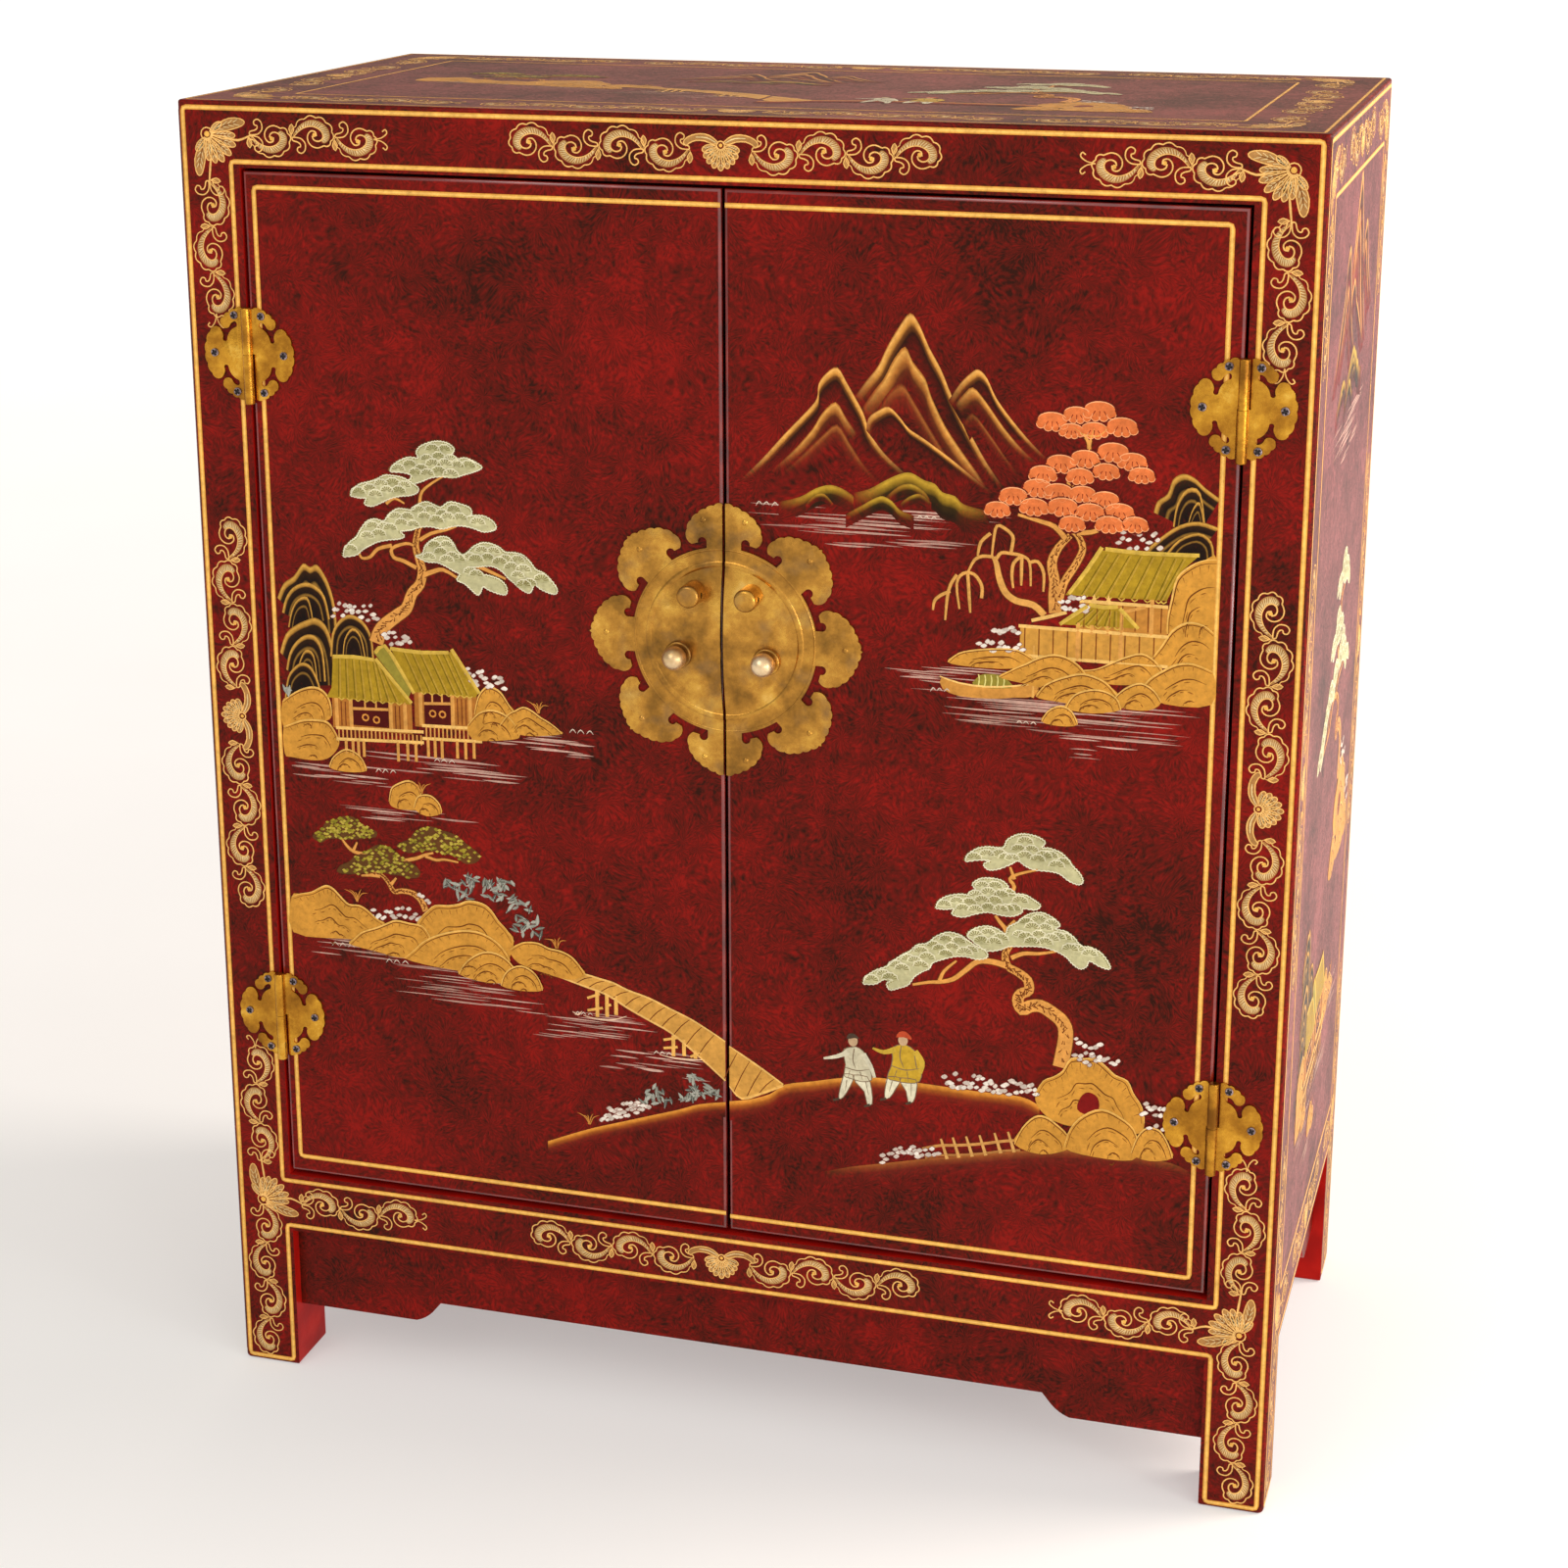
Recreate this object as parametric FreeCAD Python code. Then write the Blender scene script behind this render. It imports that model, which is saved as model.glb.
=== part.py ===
import FreeCAD
import Part
import math
import os

# Lacquered two-door cabinet on four post legs. Millimetres, +Z up, the doors face -Y.
# The origin is the middle of the whole object's box, on the floor.

# Overall size of the wooden carcass
WIDTH = 740.0
DEPTH = 380.0
HEIGHT = 907.0

# Clearances, and the overrun that every cut runs past a face
SOCKET_FIT = 0.1
SEAT_GAP = 0.3
PIN_FIT = 0.05
OVERRUN = 3.0

# Corner posts, which run down as legs
POST_WIDTH = 43.0
POST_DEPTH = 45.0
ARRIS = 4.0
FOOT_ROUND = 3.0
POST_TENON = 20.0
POST_TENON_LENGTH = 12.0

# Top board and the rails between the posts
TOP_THICK = 20.0
RAIL_THICK = 25.0
TOP_RAIL_HEIGHT = 22.5
BOTTOM_RAIL_HEIGHT = 44.0
LEG_HEIGHT = 108.0
TENON_LENGTH = 22.0
TENON_THICK = 9.0
TENON_SHOULDER = 5.0

# Panels tongued into the posts
SIDE_PANEL_THICK = 15.0
BACK_PANEL_THICK = 10.0
TONGUE_THICK = 6.0
TONGUE_LENGTH = 8.0

# Aprons between the legs: low at the ends, raised in the middle past an S-shaped step
APRON_SETBACK = 8.5
APRON_THICK = 16.0
APRON_TENON_THICK = 7.0
APRON_END_CLEARANCE = 46.0
APRON_STEP_RISE = 16.0
APRON_STEP_RUN = 13.0
FRONT_APRON_STEP_IN = 96.0
SIDE_APRON_STEP_IN = 58.0
APRON_TOE = 6.0

# Cabinet floor, shelves and their battens
FLOOR_BOARD_THICK = 12.0
FLOOR_BOARD_LEDGE = 10.0
SHELF_THICK = 14.0
SHELF_SETBACK = 50.0
LOWER_SHELF_TOP = 400.0
UPPER_SHELF_TOP = 640.0
BATTEN_WIDTH = 18.0
BATTEN_HEIGHT = 22.0

# Doors, flush with the frame, and what they close against
DOOR_THICK = 20.0
DOOR_SIDE_GAP = 2.0
DOOR_TOP_GAP = 2.0
DOOR_BOTTOM_GAP = 4.0
DOOR_MEETING_GAP = 2.0
DOOR_ARRIS = 2.0
DOOR_BATTEN_THICK = 12.0
DOOR_BATTEN_HEIGHT = 40.0
DOOR_BATTEN_END_GAP = 22.0
DOOR_BATTEN_INSET = 110.0
DOOR_BATTEN_BEVEL = 4.0
STOP_DEPTH = 14.0
STOP_HEIGHT = 11.0

# Lift-off hinges: flower-shaped leaves with a two-part barrel
HINGE_TOP_INSET = 164.0
HINGE_BOTTOM_HEIGHT = 276.0
LEAF_THICK = 1.5
LEAF_RADIUS = 31.5
LEAF_SCALLOP_DEPTH = 1.1
KNUCKLE_RADIUS = 3.4
KNUCKLE_LENGTH = 31.0
FRAME_KNUCKLE_EXTRA = 2.0
KNUCKLE_END_ROUND = 0.8
KNUCKLE_EDGE_GAP = 0.6
PIN_RADIUS = 1.7
PIN_DEPTH = 26.0
WEB_REACH = 6.5
SCREW_HEAD_RADIUS = 3.0
SCREW_HEAD_RISE = 1.2
SCREW_RADIUS = 1.4
SCREW_LENGTH = 12.0
SCREW_SIDE_X = 9.6
SCREW_SIDE_Z = 25.4
SCREW_OUTER_X = 24.8

# Hinge leaf's upper half as shares of its radius, across and up from the barrel's middle: the cusps of the outer
# lobe, the arcs (middle, end) that curl round both lobe ends and the channel between them, the upper lobe's cusps
OUTER_CUSP_SHARES = ((1.0, 0.0), (0.965, 0.235), (0.875, 0.440))
CHANNEL_ARC_SHARES = (
    ((0.745, 0.555), (0.610, 0.465)),
    ((0.580, 0.385), (0.590, 0.300)),
    ((0.540, 0.250), (0.490, 0.300)),
    ((0.425, 0.450), (0.300, 0.550)),
    ((0.250, 0.620), (0.295, 0.675)),
    ((0.370, 0.640), (0.420, 0.565)),
    ((0.545, 0.525), (0.630, 0.640)),
)
UPPER_CUSP_SHARES = ((0.545, 0.765), (0.425, 0.860), (0.290, 0.930))
SHOULDER_SHARE = 0.97
WEB_LIFT_DEG = 25.0

# Round lobed face plate, split between the doors
PLATE_HEIGHT = 573.0
PLATE_RADIUS = 92.0
PLATE_THICK = 1.5
DISC_RADIUS = 62.0
LOBE_FOOT_RADIUS = 63.0
NECK_WIDTH = 23.0
LOBE_COUNT = 8
LOBE_WIDTH = 50.0
LOBE_SCALLOP_DEPTH = 1.1
NOTCH_RADIUS = 2.9
NOTCH_OFFSET = 14.4
NOTCH_FROM_CENTRE = 65.0
DOME_RADIUS = 50.0
DOME_RISE = 6.0
NAIL_HEAD_RADIUS = 1.9
NAIL_HEAD_RISE = 0.8
NAIL_RADIUS = 0.9
NAIL_LENGTH = 10.0
NAIL_FROM_CENTRE = 80.5
SPLIT_NAIL_OFFSET = 14.0

# One lobe's head, from its tip round to the hook: share of half the width, share of the lobe's height
LOBE_EDGE_SHARES = (
    (0.0, 1.0), (0.05, 0.95), (0.26, 0.89), (0.48, 0.81), (0.69, 0.70), (0.87, 0.54), (0.985, 0.33),
)
HOOK_SIDE_SHARES = (1.0, 0.12)
HOOK_BOTTOM_SHARES = (0.86, 0.0)
HOOK_TIP_SHARES = (0.69, 0.04)
LOBE_ROOT_SHARE = 0.04

# Lock posts and ball knobs on the plate
LOCK_POST_OFFSET = 19.0
LOCK_POST_ABOVE = 32.3
LOCK_POST_RADIUS = 7.5
LOCK_POST_REACH = 20.0
LOCK_POST_ROUND = 2.5
LOCK_HOLE_RADIUS = 2.0
LOCK_HOLE_REACH = 13.0
KNOB_OFFSET = 29.7
KNOB_BELOW = 10.0
KNOB_RADIUS = 7.9
KNOB_REACH = 23.0
COLLAR_RADIUS = 9.0
COLLAR_REACH = 8.2
COLLAR_ROUND = 1.2
SHANK_RADIUS = 3.6
SHANK_LENGTH = 12.0

# Places worked out from the sizes above
LEFT = -WIDTH / 2
RIGHT = WIDTH / 2
HARDWARE_REACH = max(KNOB_REACH, LOCK_POST_REACH)
FRONT = -(DEPTH - HARDWARE_REACH) / 2
BACK = FRONT + DEPTH
POST_TOP = HEIGHT - TOP_THICK
OPENING_TOP = POST_TOP - TOP_RAIL_HEIGHT
OPENING_BOTTOM = LEG_HEIGHT + BOTTOM_RAIL_HEIGHT
OPENING_RIGHT = RIGHT - POST_WIDTH
DOOR_BOTTOM = OPENING_BOTTOM + DOOR_BOTTOM_GAP
DOOR_TOP = OPENING_TOP - DOOR_TOP_GAP
DOOR_BACK = FRONT + DOOR_THICK
HINGE_X = OPENING_RIGHT - DOOR_SIDE_GAP / 2
HINGE_HEIGHTS = {"upper": HEIGHT - HINGE_TOP_INSET, "lower": HINGE_BOTTOM_HEIGHT}
SIDES = {"left": -1, "right": 1}
SCREW_PLACES = ((SCREW_SIDE_X, SCREW_SIDE_Z), (SCREW_SIDE_X, -SCREW_SIDE_Z), (SCREW_OUTER_X, 0))

X_AXIS = FreeCAD.Vector(1, 0, 0)
Y_AXIS = FreeCAD.Vector(0, 1, 0)
Z_AXIS = FreeCAD.Vector(0, 0, 1)


# Helpers for solids
def vec(x, y, z):
    return FreeCAD.Vector(x, y, z)


def block(x0, x1, y0, y1, z0, z1):
    """A box between two corners, given in any order."""
    low = vec(min(x0, x1), min(y0, y1), min(z0, z1))
    return Part.makeBox(abs(x1 - x0), abs(y1 - y0), abs(z1 - z0), low)


def rod(radius, length, start, direction):
    return Part.makeCylinder(radius, length, start, direction)


def grown(box, gap):
    """The same box with every face moved out by a gap, for the socket round a tenon."""
    b = box.BoundBox
    return block(b.XMin - gap, b.XMax + gap, b.YMin - gap, b.YMax + gap, b.ZMin - gap, b.ZMax + gap)


def mirror_x(shape):
    return shape.mirror(vec(0, 0, 0), X_AXIS)


def arc(start, middle, end):
    return Part.Arc(start, middle, end).toShape()


def line(start, end):
    return Part.makeLine(start, end)


def bulged(start, end, depth):
    """An arc from start to end in the XZ plane that bulges to the left of the way along it."""
    along = end - start
    side = vec(-along.z, 0, along.x)
    side.normalize()
    return arc(start, (start + end) * 0.5 + side * depth, end)


def edges_along(shape, axis, test):
    """The straight edges that run along an axis and whose middle passes a test."""
    picked = []
    for edge in shape.Edges:
        way = edge.lastVertex().Point - edge.firstVertex().Point
        if way.Length > 0 and abs(way.getAngle(axis)) in (0.0, math.pi) and test(edge.CenterOfMass):
            picked.append(edge)
    return picked


def near(a, b):
    return abs(a - b) < SOCKET_FIT


# Tenons and tongues, each made once and used for the piece and for its socket
def tenon_x(x, way, y_middle, z0, z1, thick):
    """A tenon that leaves a shoulder at x and runs in the x direction given by way."""
    return block(x, x + way * TENON_LENGTH, y_middle - thick / 2, y_middle + thick / 2,
                 z0 + TENON_SHOULDER, z1 - TENON_SHOULDER)


def tenon_y(y, way, x_middle, z0, z1, thick):
    return block(x_middle - thick / 2, x_middle + thick / 2, y, y + way * TENON_LENGTH,
                 z0 + TENON_SHOULDER, z1 - TENON_SHOULDER)


def cross_rail(y0, y1, z0, z1):
    """A rail that runs from side to side, with a tenon at each end."""
    body = block(-OPENING_RIGHT, OPENING_RIGHT, y0, y1, z0, z1)
    tenons = [tenon_x(way * OPENING_RIGHT, way, (y0 + y1) / 2, z0, z1, TENON_THICK) for way in (-1, 1)]
    return body.multiFuse(tenons).removeSplitter(), tenons


def side_rail(x0, x1, z0, z1):
    """A rail that runs from front to back, with a tenon at each end."""
    ends = ((FRONT + POST_DEPTH, -1), (BACK - POST_DEPTH, 1))
    body = block(x0, x1, ends[0][0], ends[1][0], z0, z1)
    tenons = [tenon_y(y, way, (x0 + x1) / 2, z0, z1, TENON_THICK) for y, way in ends]
    return body.multiFuse(tenons).removeSplitter(), tenons


def apron_face(length, step_in):
    """The apron's outline, from 0 to length in x and from the rail down in z."""
    low = APRON_END_CLEARANCE
    high = low + APRON_STEP_RISE
    mid = (low + high) / 2
    edges = []
    for flip in (False, True):
        def at(x, z):
            return vec(length - x if flip else x, 0, z)
        toe = step_in - APRON_TOE
        turn = step_in + APRON_STEP_RUN / 2
        top = step_in + APRON_STEP_RUN
        edges += [
            line(at(0, LEG_HEIGHT), at(0, low)),
            line(at(0, low), at(toe, low)),
            arc(at(toe, low), at(step_in, low + (mid - low) / 3), at(turn, mid)),
            line(at(turn, mid), at(top, high)),
        ]
    edges.append(line(vec(step_in + APRON_STEP_RUN, 0, high), vec(length - step_in - APRON_STEP_RUN, 0, high)))
    edges.append(line(vec(0, 0, LEG_HEIGHT), vec(length, 0, LEG_HEIGHT)))
    return Part.Face(Part.Wire(Part.__sortEdges__(edges)))


# Carcass frame
def front_apron():
    length = 2 * OPENING_RIGHT
    y0 = FRONT + APRON_SETBACK
    board = apron_face(length, FRONT_APRON_STEP_IN).extrude(Y_AXIS * APRON_THICK)
    board.translate(vec(-OPENING_RIGHT, y0, 0))
    tenons = [tenon_x(way * OPENING_RIGHT, way, y0 + APRON_THICK / 2, APRON_END_CLEARANCE, LEG_HEIGHT,
                      APRON_TENON_THICK) for way in (-1, 1)]
    return board.multiFuse(tenons).removeSplitter(), tenons


def side_apron(way):
    length = DEPTH - 2 * POST_DEPTH
    board = apron_face(length, SIDE_APRON_STEP_IN).extrude(Y_AXIS * APRON_THICK)
    board.rotate(vec(0, 0, 0), Z_AXIS, 90)
    outer = RIGHT - APRON_SETBACK
    board.translate(vec(outer if way > 0 else -outer + APRON_THICK, FRONT + POST_DEPTH, 0))
    middle = way * (outer - APRON_THICK / 2)
    ends = ((FRONT + POST_DEPTH, -1), (BACK - POST_DEPTH, 1))
    tenons = [tenon_y(y, end, middle, APRON_END_CLEARANCE, LEG_HEIGHT, APRON_TENON_THICK) for y, end in ends]
    return board.multiFuse(tenons).removeSplitter(), tenons


def side_panel(way):
    """A flush side panel with a tongue along its front and back edges."""
    outer = way * RIGHT
    inner = outer - way * SIDE_PANEL_THICK
    middle = (outer + inner) / 2
    y0 = FRONT + POST_DEPTH
    y1 = BACK - POST_DEPTH
    body = block(outer, inner, y0, y1, OPENING_BOTTOM, OPENING_TOP)
    tongue = block(middle - TONGUE_THICK / 2, middle + TONGUE_THICK / 2, y0 - TONGUE_LENGTH, y1 + TONGUE_LENGTH,
                   OPENING_BOTTOM, OPENING_TOP)
    return body.fuse(tongue).removeSplitter(), [tongue]


def back_panel():
    y1 = BACK - (RAIL_THICK - BACK_PANEL_THICK) / 2
    y0 = y1 - BACK_PANEL_THICK
    middle = (y0 + y1) / 2
    body = block(-OPENING_RIGHT, OPENING_RIGHT, y0, y1, OPENING_BOTTOM, OPENING_TOP)
    reach = OPENING_RIGHT + TONGUE_LENGTH
    tongue = block(-reach, reach, middle - TONGUE_THICK / 2, middle + TONGUE_THICK / 2,
                   OPENING_BOTTOM, OPENING_TOP)
    return body.fuse(tongue).removeSplitter(), [tongue], y0


def post_tenon(way, y_middle):
    x_middle = way * (RIGHT - POST_WIDTH / 2)
    half = POST_TENON / 2
    return block(x_middle - half, x_middle + half, y_middle - half, y_middle + half,
                 POST_TOP, POST_TOP + POST_TENON_LENGTH)


def corner_post(way, at_front, sockets):
    """One post with its rounded outer arris and foot, top tenon and the sockets cut into it."""
    outer = way * RIGHT
    inner = way * OPENING_RIGHT
    face = FRONT if at_front else BACK
    rear = FRONT + POST_DEPTH if at_front else BACK - POST_DEPTH
    post = block(outer, inner, face, rear, 0, POST_TOP)
    post = post.makeFillet(ARRIS, edges_along(post, Z_AXIS, lambda p: near(p.x, outer) and near(p.y, face)))
    foot = [e for e in post.Edges if near(e.BoundBox.ZMin, 0) and near(e.BoundBox.ZMax, 0)]
    post = post.makeFillet(FOOT_ROUND, foot)
    post = post.fuse(post_tenon(way, (face + rear) / 2)).removeSplitter()
    return post.cut(sockets)


def top_board(sockets):
    board = block(LEFT, RIGHT, FRONT, BACK, POST_TOP, HEIGHT)
    board = board.makeFillet(ARRIS, edges_along(board, Z_AXIS, lambda p: True))
    rim = [e for e in board.Edges if near(e.BoundBox.ZMin, HEIGHT)]
    return board.makeFillet(ARRIS / 2, rim).cut(sockets)


def floor_board(ledge):
    """The cabinet floor, let into the bottom rails and notched round the posts."""
    return ledge.cut([
        block(way * (OPENING_RIGHT - SOCKET_FIT), way * RIGHT, y, y + end * (POST_DEPTH + SOCKET_FIT),
              OPENING_BOTTOM - FLOOR_BOARD_THICK, OPENING_BOTTOM)
        for way in (-1, 1) for y, end in ((FRONT, 1), (BACK, -1))
    ])


def shelf(top, back_face):
    """A shelf that reaches from its setback to the back panel and clears the back posts."""
    reach = RIGHT - SIDE_PANEL_THICK - SEAT_GAP
    board = block(-reach, reach, FRONT + SHELF_SETBACK, back_face - SEAT_GAP, top - SHELF_THICK, top)
    corners = [
        block(way * (OPENING_RIGHT - SEAT_GAP), way * RIGHT, BACK - POST_DEPTH - SEAT_GAP, BACK,
              top - SHELF_THICK, top)
        for way in (-1, 1)
    ]
    return board.cut(corners)


def shelf_batten(way, top):
    outer = RIGHT - SIDE_PANEL_THICK
    return block(way * outer, way * (outer - BATTEN_WIDTH), FRONT + SHELF_SETBACK, BACK - POST_DEPTH,
                 top - SHELF_THICK - BATTEN_HEIGHT, top - SHELF_THICK)


def door_stop(z0, z1):
    y0 = DOOR_BACK + SEAT_GAP
    return block(-OPENING_RIGHT, OPENING_RIGHT, y0, y0 + STOP_DEPTH, z0, z1)


# Fasteners and hinges
def ball_radius(edge, rise):
    """Radius of the ball whose cap has this edge radius and this rise."""
    return (edge ** 2 + rise ** 2) / (2 * rise)


def cap(edge, rise, place):
    """A solid spherical cap with the middle of its flat back at a place and its crown to the front."""
    ball = ball_radius(edge, rise)
    lean = math.asin(edge / ball) / 2
    centre = vec(0, 0, 0)
    rim = vec(edge, 0, 0)
    crown = vec(0, -rise, 0)
    middle = vec(ball * math.sin(lean), ball - rise - ball * math.cos(lean), 0)
    profile = [line(centre, rim), arc(rim, middle, crown), line(crown, centre)]
    return Part.Face(Part.Wire(profile)).revolve(centre, Y_AXIS, 360).translated(place)


def fastener(radius, length, head_radius, head_rise, x, y, z):
    """A screw or nail driven towards the back, with its head lying on y."""
    shank = rod(radius, length, vec(x, y, z), Y_AXIS)
    return cap(head_radius, head_rise, vec(x, y, z)).fuse(shank).removeSplitter()


def hole_for(radius, length, x, y, z):
    """The hole round a shank, from in front of its seat to a little past its tip."""
    return rod(radius + SOCKET_FIT, length + SEAT_GAP + OVERRUN, vec(x, y - OVERRUN, z), Y_AXIS)


def hinge_screws(side, on_door):
    """Centres of the screws of one side's two hinges, on the door or on the frame."""
    way = SIDES[side] * (-1 if on_door else 1)
    return [
        (SIDES[side] * HINGE_X + way * x, height + z)
        for height in HINGE_HEIGHTS.values() for x, z in SCREW_PLACES
    ]


def leaf_point(place):
    return vec(LEAF_RADIUS * place[0], 0, LEAF_RADIUS * place[1])


def half_leaf_edges():
    """Edges of the leaf's upper half, from its outermost point to its edge beside the barrel."""
    inner = KNUCKLE_RADIUS + KNUCKLE_EDGE_GAP
    shoulder = vec(inner, 0, math.sqrt((LEAF_RADIUS * SHOULDER_SHARE) ** 2 - inner ** 2))
    edges = []

    def scallops(cusps):
        edges.extend(bulged(a, b, -LEAF_SCALLOP_DEPTH) for a, b in zip(cusps, cusps[1:]))

    scallops([leaf_point(p) for p in OUTER_CUSP_SHARES])
    here = leaf_point(OUTER_CUSP_SHARES[-1])
    for middle, end in CHANNEL_ARC_SHARES:
        edges.append(arc(here, leaf_point(middle), leaf_point(end)))
        here = leaf_point(end)
    scallops([here] + [leaf_point(p) for p in UPPER_CUSP_SHARES] + [shoulder])
    edges.append(line(shoulder, vec(inner, 0, 0)))
    return edges


def leaf_sheet():
    """The flat flower-shaped leaf, on the +x side of the barrel, with its back on y = 0."""
    edges = half_leaf_edges()
    lower = [e.mirror(vec(0, 0, 0), Z_AXIS) for e in edges]
    wire = Part.Wire(Part.__sortEdges__(edges + lower))
    sheet = Part.Face(wire).extrude(-Y_AXIS * LEAF_THICK)
    holes = [hole_for(SCREW_RADIUS, SCREW_LENGTH, x, -LEAF_THICK, z) for x, z in SCREW_PLACES]
    return sheet.cut(holes)


def barrel_web(z0, z1):
    """The bent part of a leaf, where the sheet rises into the knuckle."""
    lift = math.radians(WEB_LIFT_DEG)
    edge = vec(KNUCKLE_RADIUS * math.cos(lift), -KNUCKLE_RADIUS - SEAT_GAP + KNUCKLE_RADIUS * math.sin(lift), z0)
    corners = [vec(0, 0, z0), vec(WEB_REACH, 0, z0), vec(WEB_REACH, -LEAF_THICK, z0), edge,
               vec(0, -KNUCKLE_RADIUS - SEAT_GAP, z0), vec(0, 0, z0)]
    return Part.Face(Part.makePolygon(corners)).extrude(Z_AXIS * (z1 - z0))


def hinge_half(z0, z1):
    """One leaf with its knuckle between two heights, for the +x side, with the wood's face at y = 0."""
    axis_y = -KNUCKLE_RADIUS - SEAT_GAP
    knuckle = rod(KNUCKLE_RADIUS, z1 - z0, vec(0, axis_y, z0), Z_AXIS)
    far_end = z1 if z0 > 0 else z0
    rim = [e for e in knuckle.Edges if near(e.BoundBox.ZMin, far_end) and near(e.BoundBox.ZMax, far_end)]
    knuckle = knuckle.makeFillet(KNUCKLE_END_ROUND, rim)
    web_end = LEAF_RADIUS * SHOULDER_SHARE - KNUCKLE_EDGE_GAP
    web = barrel_web(z0, min(z1, web_end)) if z0 > 0 else barrel_web(max(z0, -web_end), z1)
    bore = rod(PIN_RADIUS + PIN_FIT, 2 * (PIN_DEPTH + SEAT_GAP), vec(0, axis_y, -PIN_DEPTH - SEAT_GAP), Z_AXIS)
    return leaf_sheet().multiFuse([web, knuckle]).removeSplitter().cut(bore)


def hinge_pin():
    pin = rod(PIN_RADIUS, 2 * PIN_DEPTH, vec(0, -KNUCKLE_RADIUS - SEAT_GAP, -PIN_DEPTH), Z_AXIS)
    rims = [e for e in pin.Edges if near(e.BoundBox.ZMin, e.BoundBox.ZMax)]
    return pin.makeFillet(PIN_RADIUS / 2, rims)


# Face plate and what stands on it
def to_plate(x, z):
    """A place on the closed doors, measured from the face plate's centre."""
    return vec(x, FRONT, PLATE_HEIGHT + z)


def dome_height(x, z):
    """How far the dome's outer face stands in front of the doors, at a place on the plate."""
    ball = ball_radius(DOME_RADIUS, DOME_RISE)
    return PLATE_THICK + math.sqrt(ball ** 2 - x ** 2 - z ** 2) - (ball - DOME_RISE)


def dome_outside():
    return cap(DOME_RADIUS, DOME_RISE, to_plate(0, 0) - Y_AXIS * PLATE_THICK)


def dome_hollow():
    """The space behind the dome, which leaves a wall as thick as the flat rim."""
    ball = ball_radius(DOME_RADIUS, DOME_RISE) - PLATE_THICK
    edge = math.sqrt(ball ** 2 - (ball - DOME_RISE) ** 2)
    return cap(edge, DOME_RISE, to_plate(0, 0))


def lobe_point(place, flip):
    across = place[0] * LOBE_WIDTH / 2
    up = LOBE_FOOT_RADIUS + place[1] * (PLATE_RADIUS - LOBE_FOOT_RADIUS)
    return vec(-across if flip else across, 0, up)


def lobe_face():
    """A ruyi head: scalloped outer edge, two inward hooks, and the neck that joins it to the disc."""
    edges = []
    for flip in (False, True):
        points = [lobe_point(p, flip) for p in LOBE_EDGE_SHARES]
        depth = -LOBE_SCALLOP_DEPTH if flip else LOBE_SCALLOP_DEPTH
        edges.append(line(points[0], points[1]))
        edges += [bulged(a, b, depth) for a, b in zip(points[1:], points[2:])]
        bottom = lobe_point(HOOK_BOTTOM_SHARES, flip)
        edges.append(arc(points[-1], lobe_point(HOOK_SIDE_SHARES, flip), bottom))
        tip = lobe_point(HOOK_TIP_SHARES, flip)
        edges.append(line(bottom, tip))
        root = lobe_point((NECK_WIDTH / LOBE_WIDTH, LOBE_ROOT_SHARE), flip)
        edges.append(line(tip, root))
        edges.append(line(root, vec(root.x, 0, 0)))
    half = NECK_WIDTH / 2
    edges.append(line(vec(-half, 0, 0), vec(half, 0, 0)))
    return Part.Face(Part.Wire(Part.__sortEdges__(edges)))


def turned(shape, index):
    """A copy of one lobe's shape, turned to its place round the plate."""
    copy = shape.copy()
    copy.rotate(vec(0, 0, 0), Y_AXIS, 360 * index / LOBE_COUNT)
    return copy


def plate_sheet():
    """The whole plate's flat outline, as a sheet with its back on the doors."""
    disc = rod(DISC_RADIUS, PLATE_THICK, vec(0, 0, 0), -Y_AXIS)
    lobe = lobe_face().extrude(-Y_AXIS * PLATE_THICK)
    notches = [
        rod(NOTCH_RADIUS, PLATE_THICK + 2 * OVERRUN, vec(side * NOTCH_OFFSET, OVERRUN, NOTCH_FROM_CENTRE), -Y_AXIS)
        for side in (-1, 1)
    ]
    sheet = disc.multiFuse([turned(lobe, k) for k in range(LOBE_COUNT)]).removeSplitter()
    sheet = sheet.cut([turned(notch, k) for k in range(LOBE_COUNT) for notch in notches])
    sheet.translate(to_plate(0, 0))
    return sheet


def nail_places(way):
    """Nail centres on one half plate: its three whole lobes, then its share of the split top and bottom lobes."""
    step = 2 * math.pi / LOBE_COUNT
    whole = [(way * NAIL_FROM_CENTRE * math.sin(step * k), NAIL_FROM_CENTRE * math.cos(step * k))
             for k in range(1, LOBE_COUNT // 2)]
    rise = math.sqrt(NAIL_FROM_CENTRE ** 2 - SPLIT_NAIL_OFFSET ** 2)
    return whole + [(way * SPLIT_NAIL_OFFSET, rise), (way * SPLIT_NAIL_OFFSET, -rise)]


def shank_places(way):
    return ((way * LOCK_POST_OFFSET, LOCK_POST_ABOVE), (way * KNOB_OFFSET, -KNOB_BELOW))


def face_plates():
    """The left and right halves of the domed plate, with their nail and shank holes."""
    whole = plate_sheet().fuse(dome_outside()).removeSplitter().cut(dome_hollow())
    halves = {}
    for side, way in SIDES.items():
        far = way * (PLATE_RADIUS + OVERRUN)
        window = block(way * DOOR_MEETING_GAP / 2, far, FRONT - DOME_RISE - PLATE_THICK - OVERRUN, FRONT,
                       PLATE_HEIGHT - PLATE_RADIUS - OVERRUN, PLATE_HEIGHT + PLATE_RADIUS + OVERRUN)
        holes = [hole_for(NAIL_RADIUS, NAIL_LENGTH, x, FRONT - PLATE_THICK, PLATE_HEIGHT + z)
                 for x, z in nail_places(way)]
        holes += [shank_hole(x, z) for x, z in shank_places(way)]
        halves[side] = whole.common(window).cut(holes)
    return halves


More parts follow.
